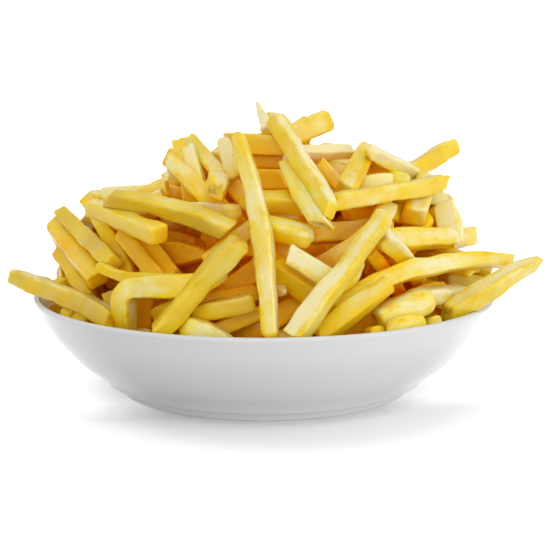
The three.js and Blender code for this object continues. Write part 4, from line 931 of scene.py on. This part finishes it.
def potato_material():
    n = Nodes("fried_potato_crust")
    loc = n.attribute("loc", "Vector")
    broad = n.noise(loc, 0.5, 2.0)
    blotch = n.noise(loc, 2.6, 3.0, 0.55)
    fine = n.noise(loc, 11.0, 3.0, 0.6)
    tone = n.maths("ADD", n.attribute("tone"), n.maths("MULTIPLY", n.attribute("edge"), n.spread(blotch, 0.35, 0.6, 0.04, 0.17)))
    tone = n.maths("ADD", tone, n.maths("MULTIPLY", n.attribute("tip"), 0.20))
    # painted shade: the less open a place is, the more golden its tone
    tone = n.maths("ADD", tone, n.spread(n.attribute("open"), 0.15, 0.70, 0.38, 0.0))
    tone = n.maths("ADD", tone, n.maths("MULTIPLY", n.maths("SUBTRACT", broad, 0.5), 1.15))
    tone = n.maths("ADD", tone, n.maths("MULTIPLY", n.maths("SUBTRACT", blotch, 0.5), 0.54))
    tone = n.maths("ADD", tone, n.maths("MULTIPLY", n.maths("SUBTRACT", fine, 0.5), 0.20), clamp=True)
    colour = n.ramp(tone, [(0.0, srgb(*CREAM)), (0.22, srgb(*PALE)), (0.46, srgb(*YELLOW)), (0.76, srgb(*GOLD)), (1.0, srgb(*DEEP))])
    # a few edges and cut ends are fried brown
    edge = n.maths("MULTIPLY", n.attribute("edge"), n.spread(blotch, 0.56, 0.70, 0.0, 0.20))
    tip = n.maths("MULTIPLY", n.spread(n.attribute("tip"), 0.45, 0.95), n.spread(blotch, 0.40, 0.60, 0.14, 0.70))
    colour = n.mix(n.maths("ADD", edge, tip, clamp=True), colour, srgb(*BROWN), "MIX")
    # patches of skin and slightly green flesh
    patch = n.maths("MULTIPLY", n.attribute("olive"), n.spread(broad, 0.40, 0.60, 0.25, 0.9))
    colour = n.mix(patch, colour, srgb(*OLIVE), "MIX")
    # a few fried specks
    speck = n.add("ShaderNodeTexVoronoi", {"Vector": loc, "Scale": 3.4, "Randomness": 1.0}, feature="F1").outputs["Distance"]
    speck = n.maths("MULTIPLY", n.spread(speck, 0.05, 0.09, 1.0, 0.0), n.spread(broad, 0.54, 0.60, 0.0, 0.7))
    colour = n.mix(speck, colour, srgb(150, 84, 20), "MIX")
    # painted shade: places that are only partly open are tinted a yellower, greener shade colour
    half_shade = n.spread(n.attribute("open"), PAINTED_HALF_SHADE[0], PAINTED_HALF_SHADE[1], 1.0, 0.0)
    colour = n.mix(half_shade, colour, n.mix(1.0, colour, PAINTED_HALF_SHADE_TINT, "MULTIPLY"), "MIX")
    # painted deep shade: places deep between the fries and deep inside the heap are tinted a richer, darker
    # orange-brown
    deep_shadow = n.maths("ADD", n.spread(n.attribute("open"), PAINTED_DEEP_SHADOW[0], PAINTED_DEEP_SHADOW[1], 1.0, 0.0), n.spread(n.attribute("out"), 0.60, 0.88, 1.0, 0.0), clamp=True)
    colour = n.mix(deep_shadow, colour, n.mix(1.0, colour, PAINTED_DEEP_SHADOW_TINT, "MULTIPLY"), "MIX")
    # painted contact shade: where another fry is very near, the colour is darkened to a red-brown
    contact_shadow = n.spread(n.attribute("open"), PAINTED_CONTACT_SHADOW[0], PAINTED_CONTACT_SHADOW[1], 1.0, 0.0)
    colour = n.mix(contact_shadow, colour, n.mix(1.0, colour, PAINTED_CONTACT_SHADOW_TINT, "MULTIPLY"), "MIX")
    rough = n.spread(n.noise(loc, 4.0, 2.0), 0.35, 0.65, ROUGH[0], ROUGH[1])
    height = n.maths("ADD", n.maths("MULTIPLY", n.noise(loc, 7.0, 4.0, 0.6), 0.7), n.maths("MULTIPLY", n.noise(loc, 26.0, 2.0, 0.5), 0.3))
    bump = n.add("ShaderNodeBump", {"Height": height, "Strength": BUMP, "Distance": 0.0010}).outputs["Normal"]
    # oil lies in patches on the open faces
    oil = n.maths("MULTIPLY", n.spread(n.noise(loc, 1.7, 2.0), 0.40, 0.62, 0.12, 0.60), n.maths("SUBTRACT", 1.0, deep_shadow), clamp=True)
    shader = n.add("ShaderNodeBsdfPrincipled", {
        "Base Color": colour, "Roughness": rough, "Normal": bump, "IOR": 1.42, "Specular IOR Level": 0.18,
        "Subsurface Weight": SSS, "Subsurface Radius": (1.0, 0.78, 0.22), "Subsurface Scale": 0.0028,
        "Coat Weight": oil, "Coat Roughness": 0.20, "Coat IOR": 1.5,
    })
    out = n.add("ShaderNodeOutputMaterial")
    n.tree.links.new(shader.outputs[0], out.inputs[0])
    return n.mat


def porcelain_material():
    n = Nodes("porcelain_glaze")
    where = n.add("ShaderNodeTexCoord").outputs["Object"]
    wave = n.noise(where, 34.0, 2.0)
    orange_peel = n.noise(where, 260.0, 2.0)
    tint = n.noise(where, 12.0, 2.0)
    glaze = n.mix(n.spread(tint, 0.35, 0.65), PORCELAIN, tuple(c * 0.985 for c in PORCELAIN))
    bare = n.attribute("bare")
    # painted shade: the top of the rim is made a darker grey than the wall
    height = n.add("ShaderNodeSeparateXYZ", {0: where}).outputs["Z"]
    glaze = n.mix(n.spread(height, 0.0418, 0.0434, 0.0, 1.0), glaze, PAINTED_RIM_DARKENING)
    colour = n.mix(bare, glaze, (0.56, 0.53, 0.48))
    rough = n.maths("ADD", n.spread(wave, 0.3, 0.7, 0.10, 0.15), n.maths("MULTIPLY", bare, 0.55))
    height = n.maths("ADD", wave, n.maths("MULTIPLY", orange_peel, 0.08))
    bump = n.add("ShaderNodeBump", {"Height": height, "Strength": 0.12, "Distance": 0.0004}).outputs["Normal"]
    shader = n.add("ShaderNodeBsdfPrincipled", {
        "Base Color": colour, "Roughness": rough, "Normal": bump, "IOR": 1.5, "Specular IOR Level": 0.5, "Coat Weight": 0.0,
    })
    out = n.add("ShaderNodeOutputMaterial")
    n.tree.links.new(shader.outputs[0], out.inputs[0])
    return n.mat


def floor_material(name, FLOOR):
    n = Nodes(name)
    where = n.add("ShaderNodeTexCoord").outputs["Object"]
    shade = n.spread(n.noise(where, 3.0, 2.0), 0.3, 0.7, 0.0, 1.0)
    if FLOOR > 0.9:
        # painted light: the floor glows, so that it is white everywhere but for the shadow in front of the foot, which
        # lies a little to the right
        split = n.add("ShaderNodeSeparateXYZ", {0: where})
        moved = n.add("ShaderNodeVectorMath", {0: where, 1: (-0.012, 0.0, 0.0)}, operation="ADD").outputs["Vector"]
        wide = n.add("ShaderNodeVectorMath", {0: moved, 1: (1.3, 1.08, 0.0)}, operation="MULTIPLY").outputs["Vector"]
        away = n.add("ShaderNodeVectorMath", {0: wide}, operation="LENGTH").outputs["Value"]
        beside = n.spread(n.maths("ABSOLUTE", n.maths("SUBTRACT", split.outputs["X"], 0.005)), 0.035, 0.055, 0.0, FLOOR_GLOW_SIDE)
        back = n.spread(n.maths("SUBTRACT", split.outputs["Y"], n.maths("MULTIPLY", split.outputs["X"], 0.12)), -0.055, -0.030, 0.0, 1.0)
        glow = n.maths("ADD", n.spread(away, 0.105, 0.145, FLOOR_GLOW, FLOOR_GLOW_WIDE), n.maths("MULTIPLY", beside, back))
    else:
        # painted light: the under floor glows, more towards the right, to light the bowl's right side
        glow = n.spread(n.add("ShaderNodeSeparateXYZ", {0: where}).outputs["X"], -0.05, 0.16, 0.0, BOUNCE_RIGHT)
    shader = n.add("ShaderNodeBsdfPrincipled", {"Base Color": n.mix(shade, (FLOOR, FLOOR, FLOOR), (FLOOR * 0.995,) * 3), "Roughness": 0.9, "Specular IOR Level": 0.1, "Emission Color": (1, 1, 1, 1), "Emission Strength": glow})
    out = n.add("ShaderNodeOutputMaterial")
    n.tree.links.new(shader.outputs[0], out.inputs[0])
    return n.mat


# ---------------------------------------------------------------- the object
CORE = 0.50
CREAM, PALE, YELLOW, GOLD, DEEP, BROWN = (241, 230, 177), (240, 218, 104), (242, 208, 34), (243, 200, 10), (243, 189, 4), (165, 84, 8)
ALBEDO = 0.97
# painted shade tints by openness: deep shade between the fries, half shade, and contact shade where fries nearly touch
PAINTED_DEEP_SHADOW, PAINTED_DEEP_SHADOW_TINT = (0.16, 0.38), (1.17, 0.88, 0.35)
PAINTED_HALF_SHADE, PAINTED_HALF_SHADE_TINT = (0.25, 0.80), (1.06, 1.19, 0.66)
PAINTED_CONTACT_SHADOW, PAINTED_CONTACT_SHADOW_TINT = (0.07, 0.24), (1.00, 0.56, 0.46)
OLIVE = (200, 172, 60)
ROUGH = (0.32, 0.46)
BUMP = 0.40
SSS = 0.60
PORCELAIN, PAINTED_RIM_DARKENING = (0.725, 0.73, 0.735), (0.65, 0.65, 0.645)
FLOOR = 0.97
KEY, FILL, SIDE, GLINT = 0.29, 0.47, 0.82, 0.11
SKY = (0.70, 0.87, 0.06)
BOUNCE = 0.56
BOUNCE_RIGHT = 0.38
FLOOR_GLOW, FLOOR_GLOW_WIDE, FLOOR_GLOW_SIDE = 0.03, 0.30, 0.34


def build():
    potato = potato_material()
    groups = {"fries_front_cream": [], "fries_front_golden": [], "fries_far_cream": [], "fries_far_golden": []}
    for i, (name, line, side3, first, tone, olive, bare, ends) in enumerate(SHOWN):
        rng = np.random.default_rng(SEED * 1000 + i)
        part = fry(line, side3, first, tone, olive, bare, ends, 24, 1.6, rng)
        groups["fries_front_cream" if tone < 0.45 else "fries_front_golden"].append(part)
    for i, (start, middle, end, side) in enumerate(REST):
        rng = np.random.default_rng(SEED * 1000 + 500 + i)
        tone = float(np.clip(rng.normal(0.48, 0.15), 0.12, 0.85))
        olive = float(rng.choice([0, 0, 0, 0.2, 0.4]))
        ends = rng.choice(list("fffffssr")) + rng.choice(list("ffffsssrp"))
        d = np.array(end, float) - np.array(start, float)
        first = np.cross(d, rng.normal(size=3))
        taper = rng.normal(1, 0.05)
        # the rest are made less open, so they take more painted shade, the more so in the front half
        part = fry([start, middle, end], (side * taper, side, side / taper), first, tone, olive, -0.09 if middle[1] < 0 else -0.03, ends, 16, 2.4, rng)
        groups["fries_far_cream" if tone < 0.48 else "fries_far_golden"].append(part)
    groups["fries_core"] = [make_core()]
    add_openness([part for parts in groups.values() for part in parts], make_wall())
    pieces = [to_object(name, parts) for name, parts in groups.items()]
    for piece in pieces:
        piece.data.materials.append(potato)
        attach(piece, "root")
        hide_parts("fries")
        piece.data.calc_loop_triangles()
        print(piece.name, "triangles", len(piece.data.loop_triangles))
    bowl = make_bowl()
    bowl.data.materials.append(porcelain_material())
    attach(bowl, "root")
    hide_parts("bowl")


def studio():
    scene = bpy.context.scene
    scene.view_settings.view_transform = "Standard"
    scene.view_settings.look = "None"
    scene.cycles.max_bounces, scene.cycles.diffuse_bounces = 14, 10
    # a white floor that glows, and just under it a greyer one that throws less light back up at the object and glows
    # more towards the right
    big = 40.0
    for name, z, albedo in (("studio_floor", 0.0, FLOOR), ("studio_floor_bounce", -0.0004, BOUNCE)):
        mesh = bpy.data.meshes.new(name)
        mesh.from_pydata([(-big, -big, z), (big, -big, z), (big, big, z), (-big, big, z)], [], [(0, 1, 2, 3)])
        floor = bpy.data.objects.new(name, mesh)
        scene.collection.objects.link(floor)
        floor.data.materials.append(floor_material(name, albedo))
        if name == "studio_floor":
            floor.visible_diffuse = floor.visible_shadow = floor.visible_transmission = False
        else:
            floor.visible_camera = floor.visible_glossy = False

    world = bpy.data.worlds.new("soft_studio")
    world.use_nodes = True
    tree = world.node_tree
    back = tree.nodes["Background"]
    back.inputs["Color"].default_value = (1, 1, 1, 1)
    coord = tree.nodes.new("ShaderNodeTexCoord")
    split = tree.nodes.new("ShaderNodeSeparateXYZ")
    level = tree.nodes.new("ShaderNodeMapRange")
    sky = tree.nodes.new("ShaderNodeMapRange")
    for node, values in ((level, (0.025, 0.08, 1.25 - SKY[0], 0.0)), (sky, (0.0, 1.0, SKY[0], SKY[1]))):
        for key, value in zip(("From Min", "From Max", "To Min", "To Max"), values):
            node.inputs[key].default_value = value
    depth = tree.nodes.new("ShaderNodeMath")
    depth.operation = "MULTIPLY"
    depth.inputs[1].default_value = SKY[2]
    total, both = tree.nodes.new("ShaderNodeMath"), tree.nodes.new("ShaderNodeMath")
    tree.links.new(coord.outputs["Generated"], split.inputs[0])
    for node in (level, sky):
        tree.links.new(split.outputs["Z"], node.inputs["Value"])
    tree.links.new(split.outputs["Y"], depth.inputs[0])
    tree.links.new(level.outputs["Result"], total.inputs[0])
    tree.links.new(sky.outputs["Result"], total.inputs[1])
    tree.links.new(total.outputs[0], both.inputs[0])
    tree.links.new(depth.outputs[0], both.inputs[1])
    tree.links.new(both.outputs[0], back.inputs["Strength"])
    scene.world = world

    def sun(name, towards, strength, angle, colour=(1, 1, 1)):
        data = bpy.data.lights.new(name, "SUN")
        data.energy, data.angle, data.color = strength, math.radians(angle), colour
        lamp = bpy.data.objects.new(name, data)
        lamp.rotation_euler = (-Vector(towards)).to_track_quat("-Z", "Y").to_euler()
        scene.collection.objects.link(lamp)

    sun("key_softbox", (0.14, -0.85, 0.82), KEY, 32)
    sun("fill_softbox", (-0.30, -1.0, 0.28), FILL, 36)
    sun("side_softbox", (0.92, -0.45, 0.09), SIDE, 40)
    sun("small_lamp", (0.45, -0.60, 1.0), GLINT, 8)

    data = bpy.data.cameras.new("camera")
    data.sensor_width = 36.0
    data.lens = 1438 / 550 * 36.0
    data.clip_start, data.clip_end = 0.01, 200
    camera = bpy.data.objects.new("camera", data)
    camera.location = (0.00478, -0.650, 0.1644)
    camera.rotation_euler = (math.radians(90 - 9.92), 0, 0)
    scene.collection.objects.link(camera)
    scene.camera = camera


build()
studio()
bpy.context.view_layer.update()
